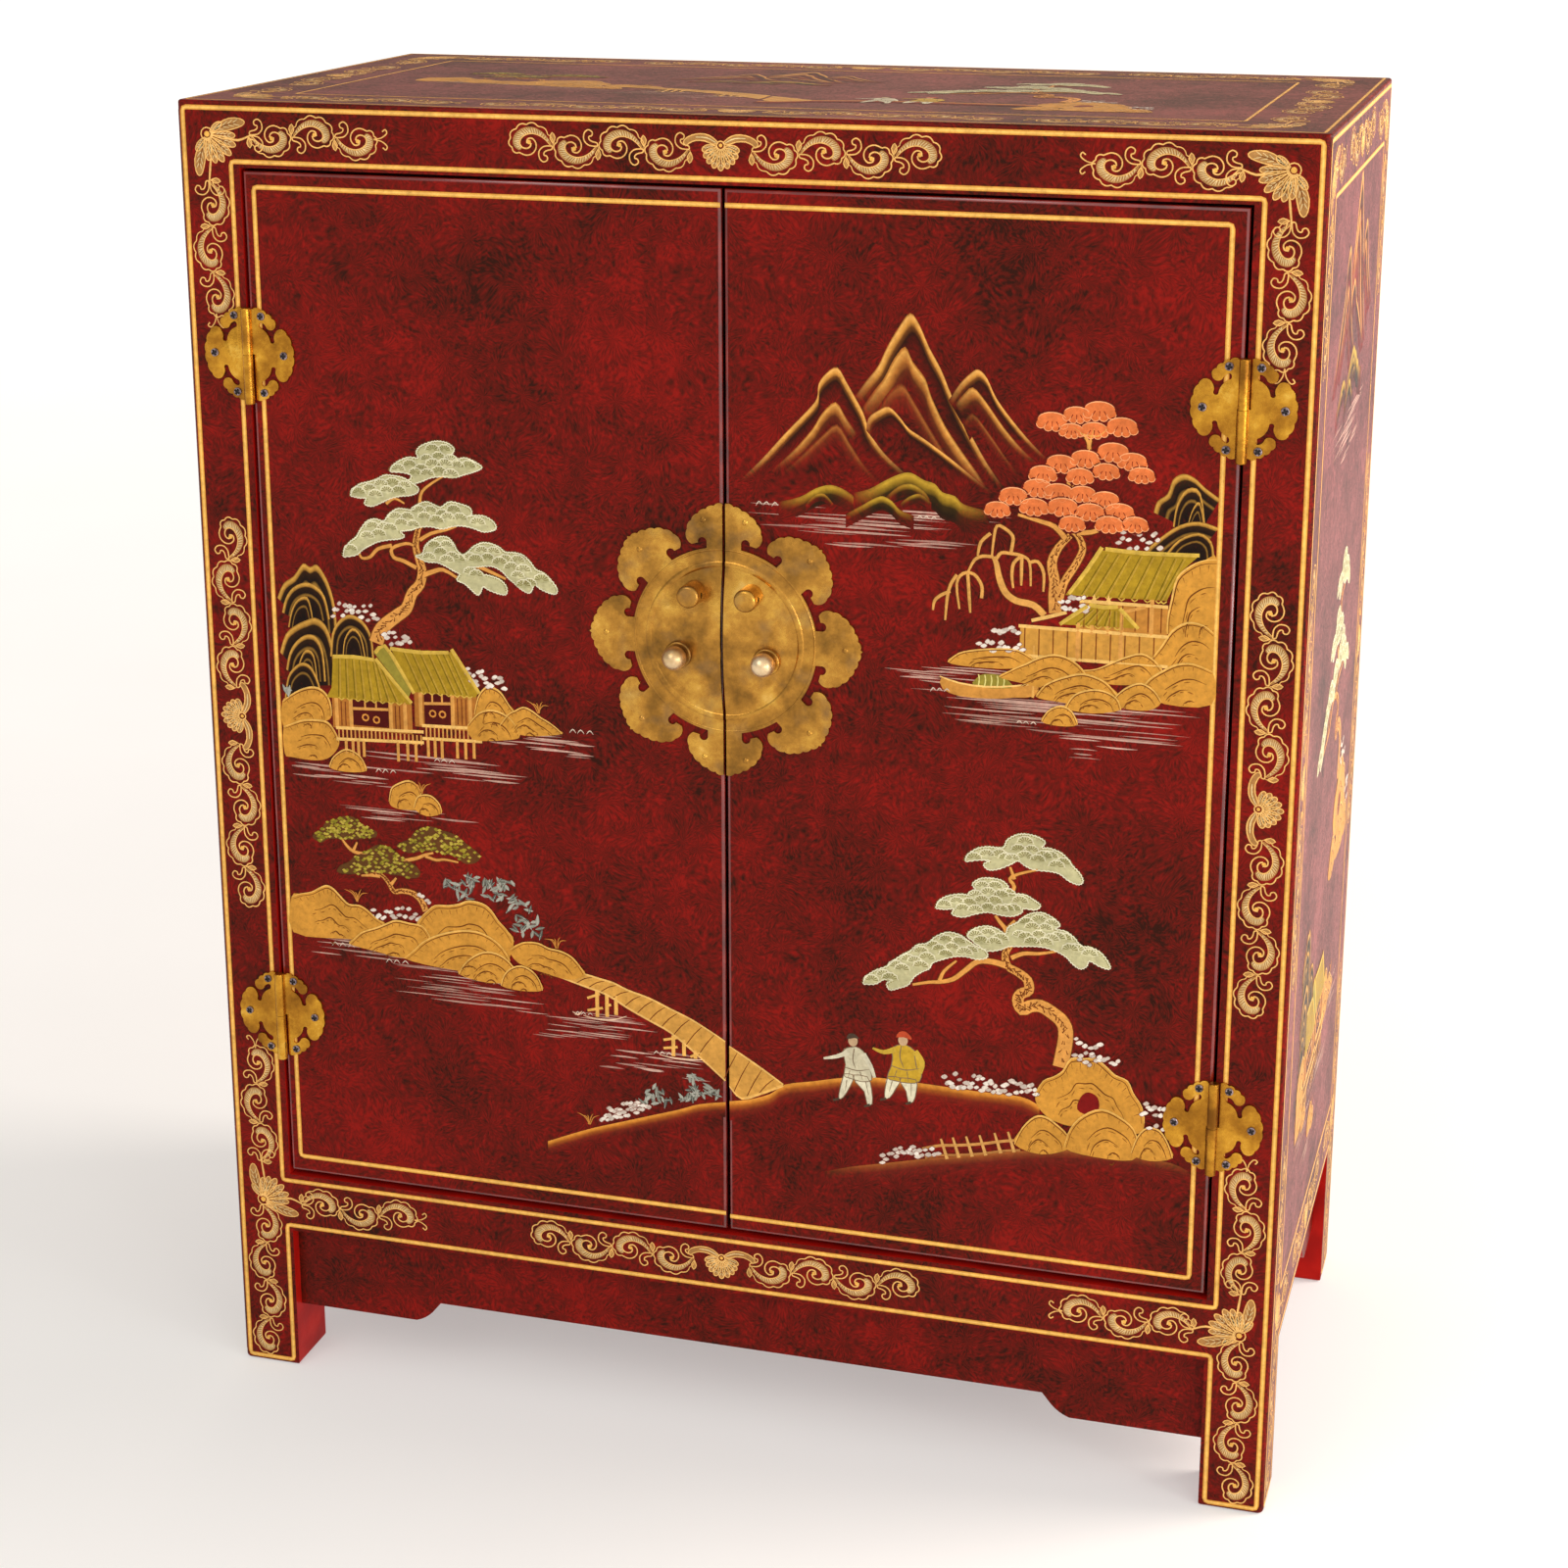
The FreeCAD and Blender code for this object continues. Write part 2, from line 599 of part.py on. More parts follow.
def shank_hole(x, z):
    """The hole for a post's or knob's shank, from in front of the dome into the door."""
    length = SHANK_LENGTH + SEAT_GAP + KNOB_REACH
    return rod(SHANK_RADIUS + SOCKET_FIT, length, to_plate(x, z) - Y_AXIS * KNOB_REACH, Y_AXIS)


def shank(x, z, reach):
    """A shank from a place in front of the plate back into the door."""
    return rod(SHANK_RADIUS, reach + SHANK_LENGTH, to_plate(x, z) - Y_AXIS * reach, Y_AXIS)


def lock_post(way):
    """A drilled post whose foot follows the dome and whose rim is rounded."""
    x, z = way * LOCK_POST_OFFSET, LOCK_POST_ABOVE
    body = rod(LOCK_POST_RADIUS, LOCK_POST_REACH, to_plate(x, z), -Y_AXIS)
    tip = [e for e in body.Edges if near(e.BoundBox.YMin, FRONT - LOCK_POST_REACH)
           and near(e.BoundBox.YMax, FRONT - LOCK_POST_REACH)]
    body = body.makeFillet(LOCK_POST_ROUND, tip)
    seat = block(x - PLATE_RADIUS, x + PLATE_RADIUS, FRONT - PLATE_THICK, FRONT,
                 PLATE_HEIGHT - PLATE_RADIUS, PLATE_HEIGHT + PLATE_RADIUS)
    body = body.cut([dome_outside(), seat])
    body = body.fuse(shank(x, z, dome_height(x, z) + LOCK_POST_ROUND)).removeSplitter()
    hole = rod(LOCK_HOLE_RADIUS, 2 * LOCK_POST_RADIUS + 2 * OVERRUN,
               to_plate(x - LOCK_POST_RADIUS - OVERRUN, z) - Y_AXIS * LOCK_HOLE_REACH, X_AXIS)
    return body.cut(hole)


def knob(way):
    """A ball on a shank that passes its collar and the plate into the door."""
    x, z = way * KNOB_OFFSET, -KNOB_BELOW
    ball = Part.makeSphere(KNOB_RADIUS, to_plate(x, z) - Y_AXIS * (KNOB_REACH - KNOB_RADIUS))
    return ball.fuse(shank(x, z, KNOB_REACH - KNOB_RADIUS)).removeSplitter()


def knob_collar(way):
    x, z = way * KNOB_OFFSET, -KNOB_BELOW
    ring = rod(COLLAR_RADIUS, COLLAR_REACH, to_plate(x, z), -Y_AXIS)
    rim = [e for e in ring.Edges if near(e.BoundBox.YMin, FRONT - COLLAR_REACH)
           and near(e.BoundBox.YMax, FRONT - COLLAR_REACH)]
    ring = ring.makeFillet(COLLAR_ROUND, rim)
    seat = block(x - PLATE_RADIUS, x + PLATE_RADIUS, FRONT - PLATE_THICK, FRONT,
                 PLATE_HEIGHT - PLATE_RADIUS, PLATE_HEIGHT + PLATE_RADIUS)
    return ring.cut([dome_outside(), seat, shank_hole(x, z)])


# Doors
def door_board(side):
    """A flush door board with rounded front edges and the holes for its hardware."""
    way = SIDES[side]
    board = block(way * DOOR_MEETING_GAP / 2, way * (OPENING_RIGHT - DOOR_SIDE_GAP), FRONT, DOOR_BACK,
                  DOOR_BOTTOM, DOOR_TOP)
    front = [e for e in board.Edges if near(e.BoundBox.YMin, FRONT) and near(e.BoundBox.YMax, FRONT)]
    board = board.makeFillet(DOOR_ARRIS, front)
    holes = [hole_for(SCREW_RADIUS, SCREW_LENGTH - LEAF_THICK, x, FRONT, z) for x, z in hinge_screws(side, True)]
    holes += [hole_for(NAIL_RADIUS, NAIL_LENGTH - PLATE_THICK, x, FRONT, PLATE_HEIGHT + z)
              for x, z in nail_places(way)]
    holes += [shank_hole(x, z) for x, z in shank_places(way)]
    return board.cut(holes)


def door_batten(way, middle):
    """A batten across the door's back, with its ends bevelled."""
    x0 = DOOR_MEETING_GAP / 2 + DOOR_BATTEN_END_GAP
    x1 = OPENING_RIGHT - DOOR_SIDE_GAP - DOOR_BATTEN_END_GAP
    z0 = middle - DOOR_BATTEN_HEIGHT / 2
    batten = block(way * x0, way * x1, DOOR_BACK, DOOR_BACK + DOOR_BATTEN_THICK, z0, z0 + DOOR_BATTEN_HEIGHT)
    rear = [e for e in batten.Edges if near(e.BoundBox.YMin, DOOR_BACK + DOOR_BATTEN_THICK)]
    return batten.makeChamfer(DOOR_BATTEN_BEVEL, rear)


def build():
    """Every node by name."""
    nodes = {}
    sockets = []

    rails = {
        "top_rail_front": cross_rail(FRONT, FRONT + RAIL_THICK, OPENING_TOP, POST_TOP),
        "top_rail_back": cross_rail(BACK - RAIL_THICK, BACK, OPENING_TOP, POST_TOP),
        "bottom_rail_front": cross_rail(FRONT, FRONT + RAIL_THICK, LEG_HEIGHT, OPENING_BOTTOM),
        "bottom_rail_back": cross_rail(BACK - RAIL_THICK, BACK, LEG_HEIGHT, OPENING_BOTTOM),
        "apron_front": front_apron(),
    }
    for side, way in SIDES.items():
        outer = way * RIGHT
        inner = way * (RIGHT - RAIL_THICK)
        rails["top_rail_" + side] = side_rail(outer, inner, OPENING_TOP, POST_TOP)
        rails["bottom_rail_" + side] = side_rail(outer, inner, LEG_HEIGHT, OPENING_BOTTOM)
        rails["apron_" + side] = side_apron(way)
        rails["side_panel_" + side] = side_panel(way)
    panel, tongues, back_face = back_panel()
    rails["back_panel"] = (panel, tongues)

    ledge = block(LEFT + RAIL_THICK - FLOOR_BOARD_LEDGE, RIGHT - RAIL_THICK + FLOOR_BOARD_LEDGE,
                  FRONT + RAIL_THICK - FLOOR_BOARD_LEDGE, BACK - RAIL_THICK + FLOOR_BOARD_LEDGE,
                  OPENING_BOTTOM - FLOOR_BOARD_THICK, OPENING_BOTTOM)
    for name, (shape, made) in rails.items():
        if name.startswith("bottom_rail"):
            shape = shape.cut(grown(ledge, SOCKET_FIT))
        nodes[name] = shape
        sockets += [grown(t, SOCKET_FIT) for t in made]
    nodes["floor_board"] = floor_board(ledge)

    frame_holes = [hole_for(SCREW_RADIUS, SCREW_LENGTH - LEAF_THICK, x, FRONT, z)
                   for side in SIDES for x, z in hinge_screws(side, False)]
    post_tenons = []
    for side, way in SIDES.items():
        for end, at_front in (("front", True), ("back", False)):
            cuts = sockets + (frame_holes if at_front else [])
            nodes["post_" + end + "_" + side] = corner_post(way, at_front, cuts)
            y_middle = FRONT + POST_DEPTH / 2 if at_front else BACK - POST_DEPTH / 2
            post_tenons.append(post_tenon(way, y_middle))
    nodes["top_board"] = top_board([grown(t, SOCKET_FIT) for t in post_tenons])

    for level, top in (("lower", LOWER_SHELF_TOP), ("upper", UPPER_SHELF_TOP)):
        nodes["shelf_" + level] = shelf(top, back_face)
        for side, way in SIDES.items():
            nodes["shelf_batten_" + level + "_" + side] = shelf_batten(way, top)
    nodes["door_stop_top"] = door_stop(OPENING_TOP - STOP_HEIGHT, OPENING_TOP)
    nodes["door_stop_bottom"] = door_stop(OPENING_BOTTOM, OPENING_BOTTOM + STOP_HEIGHT)

    door_half = hinge_half(SEAT_GAP / 2, KNUCKLE_LENGTH)
    frame_half = hinge_half(-KNUCKLE_LENGTH - FRAME_KNUCKLE_EXTRA, -SEAT_GAP / 2)
    pin = hinge_pin()
    plates = face_plates()
    frame_screws = []
    for side, way in SIDES.items():
        leaves = {"frame": frame_half if way > 0 else mirror_x(frame_half),
                  "door": mirror_x(door_half) if way > 0 else door_half}
        for level, height in HINGE_HEIGHTS.items():
            place = vec(way * HINGE_X, FRONT, height)
            for carrier, leaf in leaves.items():
                nodes["hinge_" + carrier + "_leaf_" + level + "_" + side] = leaf.translated(place)
            nodes["hinge_pin_" + level + "_" + side] = pin.translated(place)
            middle = DOOR_TOP - DOOR_BATTEN_INSET if level == "upper" else DOOR_BOTTOM + DOOR_BATTEN_INSET
            nodes["door_batten_" + level + "_" + side] = door_batten(way, middle)
        seat = FRONT - LEAF_THICK
        screws = {on_door: [fastener(SCREW_RADIUS, SCREW_LENGTH, SCREW_HEAD_RADIUS, SCREW_HEAD_RISE, x, seat, z)
                            for x, z in hinge_screws(side, on_door)] for on_door in (True, False)}
        frame_screws += screws[False]
        nodes["hinge_screws_door_" + side] = Part.makeCompound(screws[True])
        nodes["door_board_" + side] = door_board(side)
        nodes["face_plate_" + side] = plates[side]
        nodes["face_plate_nails_" + side] = Part.makeCompound([
            fastener(NAIL_RADIUS, NAIL_LENGTH, NAIL_HEAD_RADIUS, NAIL_HEAD_RISE, x, FRONT - PLATE_THICK,
                     PLATE_HEIGHT + z) for x, z in nail_places(way)])
        nodes["lock_post_" + side] = lock_post(way)
        nodes["knob_" + side] = knob(way)
        nodes["knob_collar_" + side] = knob_collar(way)
    nodes["hinge_screws_frame"] = Part.makeCompound(frame_screws)
    return nodes


os.makedirs("parts", exist_ok=True)
for name, shape in build().items():
    shape.exportStep("parts/" + name + ".step")
    print(name, "solids", len(shape.Solids), "volume", round(shape.Volume), "valid", shape.isValid())
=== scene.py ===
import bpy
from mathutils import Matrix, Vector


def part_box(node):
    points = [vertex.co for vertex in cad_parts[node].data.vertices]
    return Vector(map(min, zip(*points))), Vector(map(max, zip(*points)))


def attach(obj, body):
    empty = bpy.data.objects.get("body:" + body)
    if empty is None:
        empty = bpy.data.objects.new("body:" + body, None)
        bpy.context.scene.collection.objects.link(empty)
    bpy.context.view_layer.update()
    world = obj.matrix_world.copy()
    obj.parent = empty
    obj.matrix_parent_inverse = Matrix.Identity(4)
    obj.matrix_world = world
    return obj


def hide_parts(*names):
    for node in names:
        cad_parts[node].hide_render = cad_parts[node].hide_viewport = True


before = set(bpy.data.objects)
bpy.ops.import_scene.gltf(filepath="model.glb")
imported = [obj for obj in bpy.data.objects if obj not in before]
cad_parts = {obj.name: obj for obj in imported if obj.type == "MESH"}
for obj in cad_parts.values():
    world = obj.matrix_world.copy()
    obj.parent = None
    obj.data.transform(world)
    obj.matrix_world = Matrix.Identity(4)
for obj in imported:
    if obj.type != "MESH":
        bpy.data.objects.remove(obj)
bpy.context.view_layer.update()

import math
import random
import bmesh
import bpy
from mathutils import Matrix, Vector
from mathutils.geometry import tessellate_polygon

# The photograph's standpoint: a long lens a little right of the middle and above the top, looking down.
# A pale floor runs out of view on every side, and large soft lamps stand round it.
camera = bpy.data.objects.new("camera", bpy.data.cameras.new("camera"))
camera_right = Vector((0.9596, 0.28136, 0.0))
camera_up = Vector((-0.07731, 0.26356, 0.96154))
camera.matrix_world = Matrix((camera_right, camera_up, camera_right.cross(camera_up))).transposed().to_4x4()
camera.location = (0.5511, -1.9231, 1.0914)
camera.data.lens = 67.87
camera.data.shift_y = -0.0875
camera.data.sensor_width = 36.0
bpy.context.scene.collection.objects.link(camera)
bpy.context.scene.camera = camera
bpy.context.scene.view_settings.view_transform = "Standard"


def plug(tree, socket, feed):
    """Leads another node's output into a socket, or sets the socket's own plain value."""
    if isinstance(feed, bpy.types.NodeSocket):
        tree.links.new(feed, socket)
    else:
        socket.default_value = feed


def add(tree, kind, feeds=None, **settings):
    """One shader node: feeds are sockets or plain values for its inputs."""
    made = tree.nodes.new("ShaderNode" + kind)
    for name, value in settings.items():
        setattr(made, name, value)
    for name, feed in (feeds or {}).items():
        plug(tree, made.inputs[name], feed)
    return made


def finish(name, **sockets):
    """A new material, with the shader's own plain values set by name."""
    material = bpy.data.materials.new(name)
    material.use_nodes = True
    shader = material.node_tree.nodes["Principled BSDF"]
    wire(material.node_tree, shader, **sockets)
    return material, material.node_tree, shader


def wire(tree, shader, **feeds):
    """Leads patterns or plain values into the shader's sockets, named with _ for each space."""
    for name, feed in feeds.items():
        plug(tree, shader.inputs[name.replace("_", " ")], feed)


def colour(text):
    """A colour from its six-digit web form."""
    parts = [int(text[i:i + 2], 16) / 255 for i in (0, 2, 4)]
    return tuple(p / 12.92 if p <= 0.04045 else ((p + 0.055) / 1.055) ** 2.4 for p in parts) + (1.0,)


def ramp(tree, feed, *stops):
    """A colour ramp through (place, web colour) stops."""
    made = add(tree, "ValToRGB", {"Fac": feed})
    line = made.color_ramp.elements
    while len(line) < len(stops):
        line.new(0.5)
    for stop, (place, text) in zip(line, stops):
        stop.position = place
        stop.color = colour(text)
    return made.outputs["Color"]


def on_piece(tree):
    """The place on the piece itself, in metres."""
    return add(tree, "TexCoord").outputs["Object"]


def noise(tree, coordinates, scale, detail=2.0, roughness=0.5):
    feeds = {"Vector": coordinates, "Scale": scale, "Detail": detail, "Roughness": roughness}
    return add(tree, "TexNoise", feeds).outputs["Fac"]


def calc(tree, operation, a, b=0.0):
    return add(tree, "Math", {0: a, 1: b, 2: 0.0}, operation=operation).outputs["Value"]


def vector(tree, operation, a, b=None, scale=None, give="Vector"):
    """Sums on two vectors, or on one vector and a scale."""
    feeds = {name: feed for name, feed in ((0, a), (1, b), ("Scale", scale)) if feed is not None}
    return add(tree, "VectorMath", feeds, operation=operation).outputs[give]


def blend_colours(tree, share, first, second):
    return add(tree, "Mix", {0: share, 6: first, 7: second}, data_type="RGBA").outputs[2]


def spread(tree, feed, low, high, to_low=0.0, to_high=1.0):
    """A value stretched from one range to another and held inside it."""
    feeds = {"Value": feed, "From Min": low, "From Max": high, "To Min": to_low, "To Max": to_high}
    return add(tree, "MapRange", feeds).outputs["Result"]


def relief(tree, shader, height, depth):
    wire(tree, shader, Normal=add(tree, "Bump", {"Height": height, "Distance": depth}).outputs["Normal"])


def new_object(name, made):
    item = bpy.data.objects.new(name, made)
    bpy.context.scene.collection.objects.link(item)
    return item


def new_piece(name, points, faces, material):
    mesh = bpy.data.meshes.new(name)
    mesh.from_pydata([tuple(p) for p in points], [], faces)
    mesh.update()
    mesh.materials.append(material)
    return new_object(name, mesh)


# the floor glows faintly, and more with distance, so that it runs out to a white backdrop
floor_finish, tree, shader = finish("pale_floor", Roughness=0.85, Emission_Color=(1.0, 0.99, 0.97, 1.0))
place = on_piece(tree)
wire(tree, shader, Base_Color=ramp(tree, noise(tree, place, 1.5, 4), (0.35, "C2C1BF"), (0.7, "C8C7C5")))
away = vector(tree, "LENGTH", place, give="Value")
wire(tree, shader, Emission_Strength=spread(tree, away, 0.8, 5.0, 0.36, 0.72))
FLOOR_REACH = 30.0
floor = new_piece("floor",
                  [(x * FLOOR_REACH, y * FLOOR_REACH, 0) for x, y in ((-1, -1), (1, -1), (1, 1), (-1, 1))],
                  [(0, 1, 2, 3)], floor_finish)

# the room is brightest where its window is, in front to the right, and a little warm behind
world = bpy.data.worlds.new("soft_room")
bpy.context.scene.world = world
world.use_nodes = True
tree = world.node_tree
room = tree.nodes["Background"]
facing = add(tree, "TexCoord").outputs["Generated"]
window = vector(tree, "DOT_PRODUCT", facing, (0.6, -0.78, 0.2), give="Value")
wire(tree, room, Strength=spread(tree, window, 0.3, 0.95, 0.52, 1.3))
behind = spread(tree, add(tree, "SeparateXYZ", {"Vector": facing}).outputs["Y"], 0.2, 0.9)
wire(tree, room, Color=blend_colours(tree, behind, (1.0, 0.98, 0.95, 1.0), (1.0, 0.82, 0.7, 1.0)))

CABINET_MIDDLE = Vector((0, 0, 0.45))
LAMPS = (
    ("key_lamp", (-1.1, -3.1, 2.9), (2.2, 2.2), 29.0, (1.0, 0.98, 0.94)),
    ("side_lamp", (3.0, 0.9, 1.6), (1.8, 1.8), 138.0, (1.0, 0.88, 0.8)),
    ("strip_lamp", (2.05, -1.15, 0.6), (0.34, 1.1), 10.0, (1.0, 0.98, 0.94)),
    ("window_lamp", (1.5, -1.9, 0.7), (0.5, 0.5), 5.0, (1.0, 1.0, 1.0)),
    ("top_lamp", (-0.4, 2.3, 2.6), (2.4, 2.4), 9.0, (1.0, 0.72, 0.52)),
)
for name, place, (wide, tall), power, tint in LAMPS:
    lamp = bpy.data.lights.new(name, "AREA")
    lamp.shape = "ELLIPSE"
    lamp.size, lamp.size_y = wide, tall
    lamp.energy = power
    lamp.color = tint
    holder = new_object(name, lamp)
    holder.location = place
    holder.visible_camera = False
    holder.rotation_euler = (CABINET_MIDDLE - Vector(place)).to_track_quat("-Z", "Y").to_euler()

# Boards of the carcass and the two doors, in red lacquer. Show faces are dabbed with a dark brush in tufts
# and rubbed flat. Edges and inner faces are plain: cinnabar on the carcass; on the doors a dark red that is
# painted shade for the gaps between the doors and the frame.
GROUND, BRIGHT, DAB, CINNABAR = "65110A", "82130C", "2E1007", "A8140D"
FRONT_FROM, SIDE_FROM, TOP_FROM = -0.164, 0.35, 0.9


def mottled_ground():
    """The dabbed lacquer, laid out in the plane of its face, and where it shows: on the outside only."""
    group = bpy.data.node_groups.new("dabbed_lacquer", "ShaderNodeTree")
    for name, kind in (("Colour", "Color"), ("Dabs", "Float"), ("Show", "Float")):
        group.interface.new_socket(name, in_out="OUTPUT", socket_type="NodeSocket" + kind)

    def sums(operation, a, b=0.0):
        return calc(group, operation, a, b)

    place = add(group, "TexCoord")
    at = add(group, "SeparateXYZ", {"Vector": place.outputs["Object"]}).outputs
    facing = add(group, "SeparateXYZ", {"Vector": place.outputs["Normal"]}).outputs
    on_side = sums("GREATER_THAN", sums("ABSOLUTE", facing["X"]), 0.7)
    on_top = sums("GREATER_THAN", sums("ABSOLUTE", facing["Z"]), 0.7)
    along = add(group, "Mix", {0: on_side, 2: at["X"], 3: sums("ADD", at["Y"], 3.0)}).outputs[0]
    up = add(group, "Mix", {0: on_top, 2: at["Z"], 3: sums("ADD", at["Y"], 5.0)}).outputs[0]
    flat = add(group, "CombineXYZ", {"X": along, "Y": up}).outputs["Vector"]
    sway = add(group, "TexNoise", {"Vector": flat, "Scale": 22.0, "Detail": 1.0}, noise_dimensions="2D")
    sway = vector(group, "SUBTRACT", sway.outputs["Color"], (0.5, 0.5, 0.5))
    swayed = vector(group, "ADD", flat, vector(group, "MULTIPLY", sway, (0.022, 0.022, 0.0)))
    layers = []
    for tufts_per_metre, shift in ((26.0, 0.0), (37.0, 0.4)):
        moved = vector(group, "ADD", swayed, (shift, shift, 0))
        cell = add(group, "TexVoronoi", {"Vector": moved, "Scale": tufts_per_metre}, voronoi_dimensions="2D")
        away = vector(group, "SUBTRACT", moved, cell.outputs["Position"])
        reach = vector(group, "LENGTH", away, give="Value")
        spoke = vector(group, "SCALE", vector(group, "NORMALIZE", away), scale=8.0)
        own = vector(group, "SCALE", cell.outputs["Color"], scale=30.0)
        ring = add(group, "CombineXYZ", {"Z": sums("MULTIPLY", reach, 290.0)}).outputs[0]
        where = vector(group, "ADD", vector(group, "ADD", spoke, own), ring)
        layers.append(noise(group, where, 1.0, 1.5, 0.55))
    swap = spread(group, noise(group, flat, 48.0, 1.0), 0.46, 0.54)
    dabs = add(group, "Mix", {0: swap, 2: layers[0], 3: layers[1]}).outputs[0]
    dabs = sums("ADD", sums("MULTIPLY", sums("SUBTRACT", dabs, 0.5), 0.85), 0.5)
    broad = spread(group, noise(group, flat, 9.0, 3.0, 0.6), 0.28, 0.72, -0.17, 0.17)
    near = spread(group, noise(group, flat, 75.0, 2.0), 0.3, 0.7, -0.07, 0.07)
    dabs = sums("ADD", dabs, sums("ADD", broad, near))
    laid = ramp(group, dabs, (0.26, DAB), (0.42, "521209"), (0.55, GROUND), (0.74, BRIGHT))
    facing_front = sums("MULTIPLY", sums("LESS_THAN", facing["Y"], -0.3),
                        sums("LESS_THAN", at["Y"], FRONT_FROM))
    outwards = sums("GREATER_THAN", sums("MULTIPLY", facing["X"], at["X"]), 0.1)
    facing_side = sums("MULTIPLY", outwards, sums("GREATER_THAN", sums("ABSOLUTE", at["X"]), SIDE_FROM))
    facing_up = sums("MULTIPLY", sums("GREATER_THAN", facing["Z"], 0.3),
                     sums("GREATER_THAN", at["Z"], TOP_FROM))
    show = sums("MAXIMUM", sums("MAXIMUM", facing_front, facing_side), facing_up)
    out = group.nodes.new("NodeGroupOutput")
    for name, feed in (("Colour", laid), ("Dabs", dabs), ("Show", show)):
        group.links.new(feed, out.inputs[name])
    return group


dabbed = mottled_ground()


def dabbed_ground(tree):
    ground = add(tree, "Group")
    ground.node_tree = dabbed
    return ground.outputs


def red_lacquer(name, *edges):
    """Dabbed lacquer on the show faces, one brushed red on the rest; the doors' dark red there is painted
    shade.
    """
    made, tree, shader = finish(name, Specular_IOR_Level=0.07)
    place = on_piece(tree)
    ground = dabbed_ground(tree)
    plain = ramp(tree, noise(tree, place, 38.0, 4), *zip((0.3, 0.55, 0.75), edges))
    wire(tree, shader, Base_Color=blend_colours(tree, ground["Show"], plain, ground["Colour"]),
         Roughness=spread(tree, ground["Dabs"], 0.3, 0.7, 0.40, 0.28))
    relief(tree, shader, ground["Dabs"], 0.00006)
    return made


def coat(material, *beginnings):
    """Gives a finish to the plain solids whose names begin so."""
    for name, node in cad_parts.items():
        if name.startswith(beginnings):
            node.material_slots[0].material = material


coat(red_lacquer("red_lacquer", "8E120D", CINNABAR, "B91D12"),
     "post_", "top_", "bottom_rail", "apron_", "side_panel")
# the doors' edges and inner faces take a dark red: painted shade for the gaps round the doors
coat(red_lacquer("red_lacquer_painted_gap_shade", "2A0906", "3C0C08", "54110B"), "door_board")

# The doors' front edges are rounded over with a plane, under the same red coat as the boards.
# Hands and dusters have polished them to a harder shine.
def one_coat(name, scale, detail, stops, rough=None, **sockets):
    """A finish whose colour, and roughness where it is given, follow one fine pattern."""
    made, tree, shader = finish(name, **sockets)
    pattern = noise(tree, on_piece(tree), scale, detail)
    wire(tree, shader, Base_Color=ramp(tree, pattern, *stops))
    if rough:
        wire(tree, shader, Roughness=spread(tree, pattern, 0.3, 0.7, *rough))
    return made


rubbed_edge = one_coat("rubbed_edge", 60.0, 4, ((0.3, "4A100B"), (0.55, "74160F"), (0.75, "8E2A1C")),
                       (0.26, 0.14), Specular_IOR_Level=0.9)
EDGE_ROUND, COAT_THICKNESS, EDGE_STEPS = 0.002, 0.00003, 5
for side in ("left", "right"):
    low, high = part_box("door_board_" + side)
    corners = []
    for step in range(EDGE_STEPS + 1):
        turn = math.pi / 2 * step / EDGE_STEPS
        inset = EDGE_ROUND - (EDGE_ROUND + COAT_THICKNESS) * math.sin(turn)
        deep = low[1] + EDGE_ROUND - (EDGE_ROUND + COAT_THICKNESS) * math.cos(turn)
        x0, x1, z0, z1 = low[0] + inset, high[0] - inset, low[2] + inset, high[2] - inset
        corners += [(x0, deep, z0), (x1, deep, z0), (x1, deep, z1), (x0, deep, z1)]
    faces = [(k * 4 + i, k * 4 + 4 + i, k * 4 + 4 + (i + 1) % 4, k * 4 + (i + 1) % 4)
             for k in range(EDGE_STEPS) for i in range(4)]
    piece = new_piece("door_edge_" + side, corners, faces, rubbed_edge)
    for face in piece.data.polygons:
        face.use_smooth = True
    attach(piece, side + "_door")

# Inside boards: cabinet floor, shelves and their battens, door stops and battens, and the back panel.
# They are the same timber under one thin brownish red coat, brushed along the board.
inner_lacquer, tree, shader = finish("inner_lacquer", Coat_Weight=0.1, Coat_Roughness=0.3)
grain = add(tree, "Mapping", {"Vector": on_piece(tree), "Scale": (12.0, 90.0, 90.0)}).outputs["Vector"]
brushed = noise(tree, grain, 1.0, 4)
wire(tree, shader, Base_Color=ramp(tree, brushed, (0.3, "4A100C"), (0.5, "64170F"), (0.72, "782015")),
     Roughness=spread(tree, brushed, 0.3, 0.7, 0.42, 0.58))
relief(tree, shader, brushed, 0.0001)
coat(inner_lacquer, "floor_board", "shelf_", "door_stop", "door_batten", "back_panel")

# Gilt lines, about 3 mm wide, painted with a loaded brush so that they stand a little proud of the lacquer.
# Two run round the frame, one along its outer edges and one along its inner edges, and one round the doors.
HALF_WIDTH, FRONT, HEIGHT = 370.0, -178.5, 907.0
FACES = {
    "front": lambda u, v, h: ((u - HALF_WIDTH) / 1000, (FRONT - h) / 1000, v / 1000),
    "right": lambda u, v, h: ((HALF_WIDTH + h) / 1000, (FRONT + u) / 1000, v / 1000),
    "left": lambda u, v, h: ((-HALF_WIDTH - h) / 1000, (FRONT + u) / 1000, v / 1000),
    "top": lambda u, v, h: ((u - HALF_WIDTH) / 1000, (FRONT + v) / 1000, (HEIGHT + h) / 1000),
}
# Gilt strokes are dark orange at their sides and pale down the middle: painted highlight along each ridge,
# with painted shade at its sides.
GILT, SCROLL_GILT = "CB8630", "CF8C3A"
GILT_PAINTED_HIGHLIGHTS = {GILT: "F8C66A", SCROLL_GILT: "F3C67C"}


def spots(places):
    """Places on a face in millimetres, read from u,v pairs in words; other places are left as they are."""
    if isinstance(places, str):
        return [tuple(float(n) for n in pair.split(",")) for pair in places.split()]
    return places


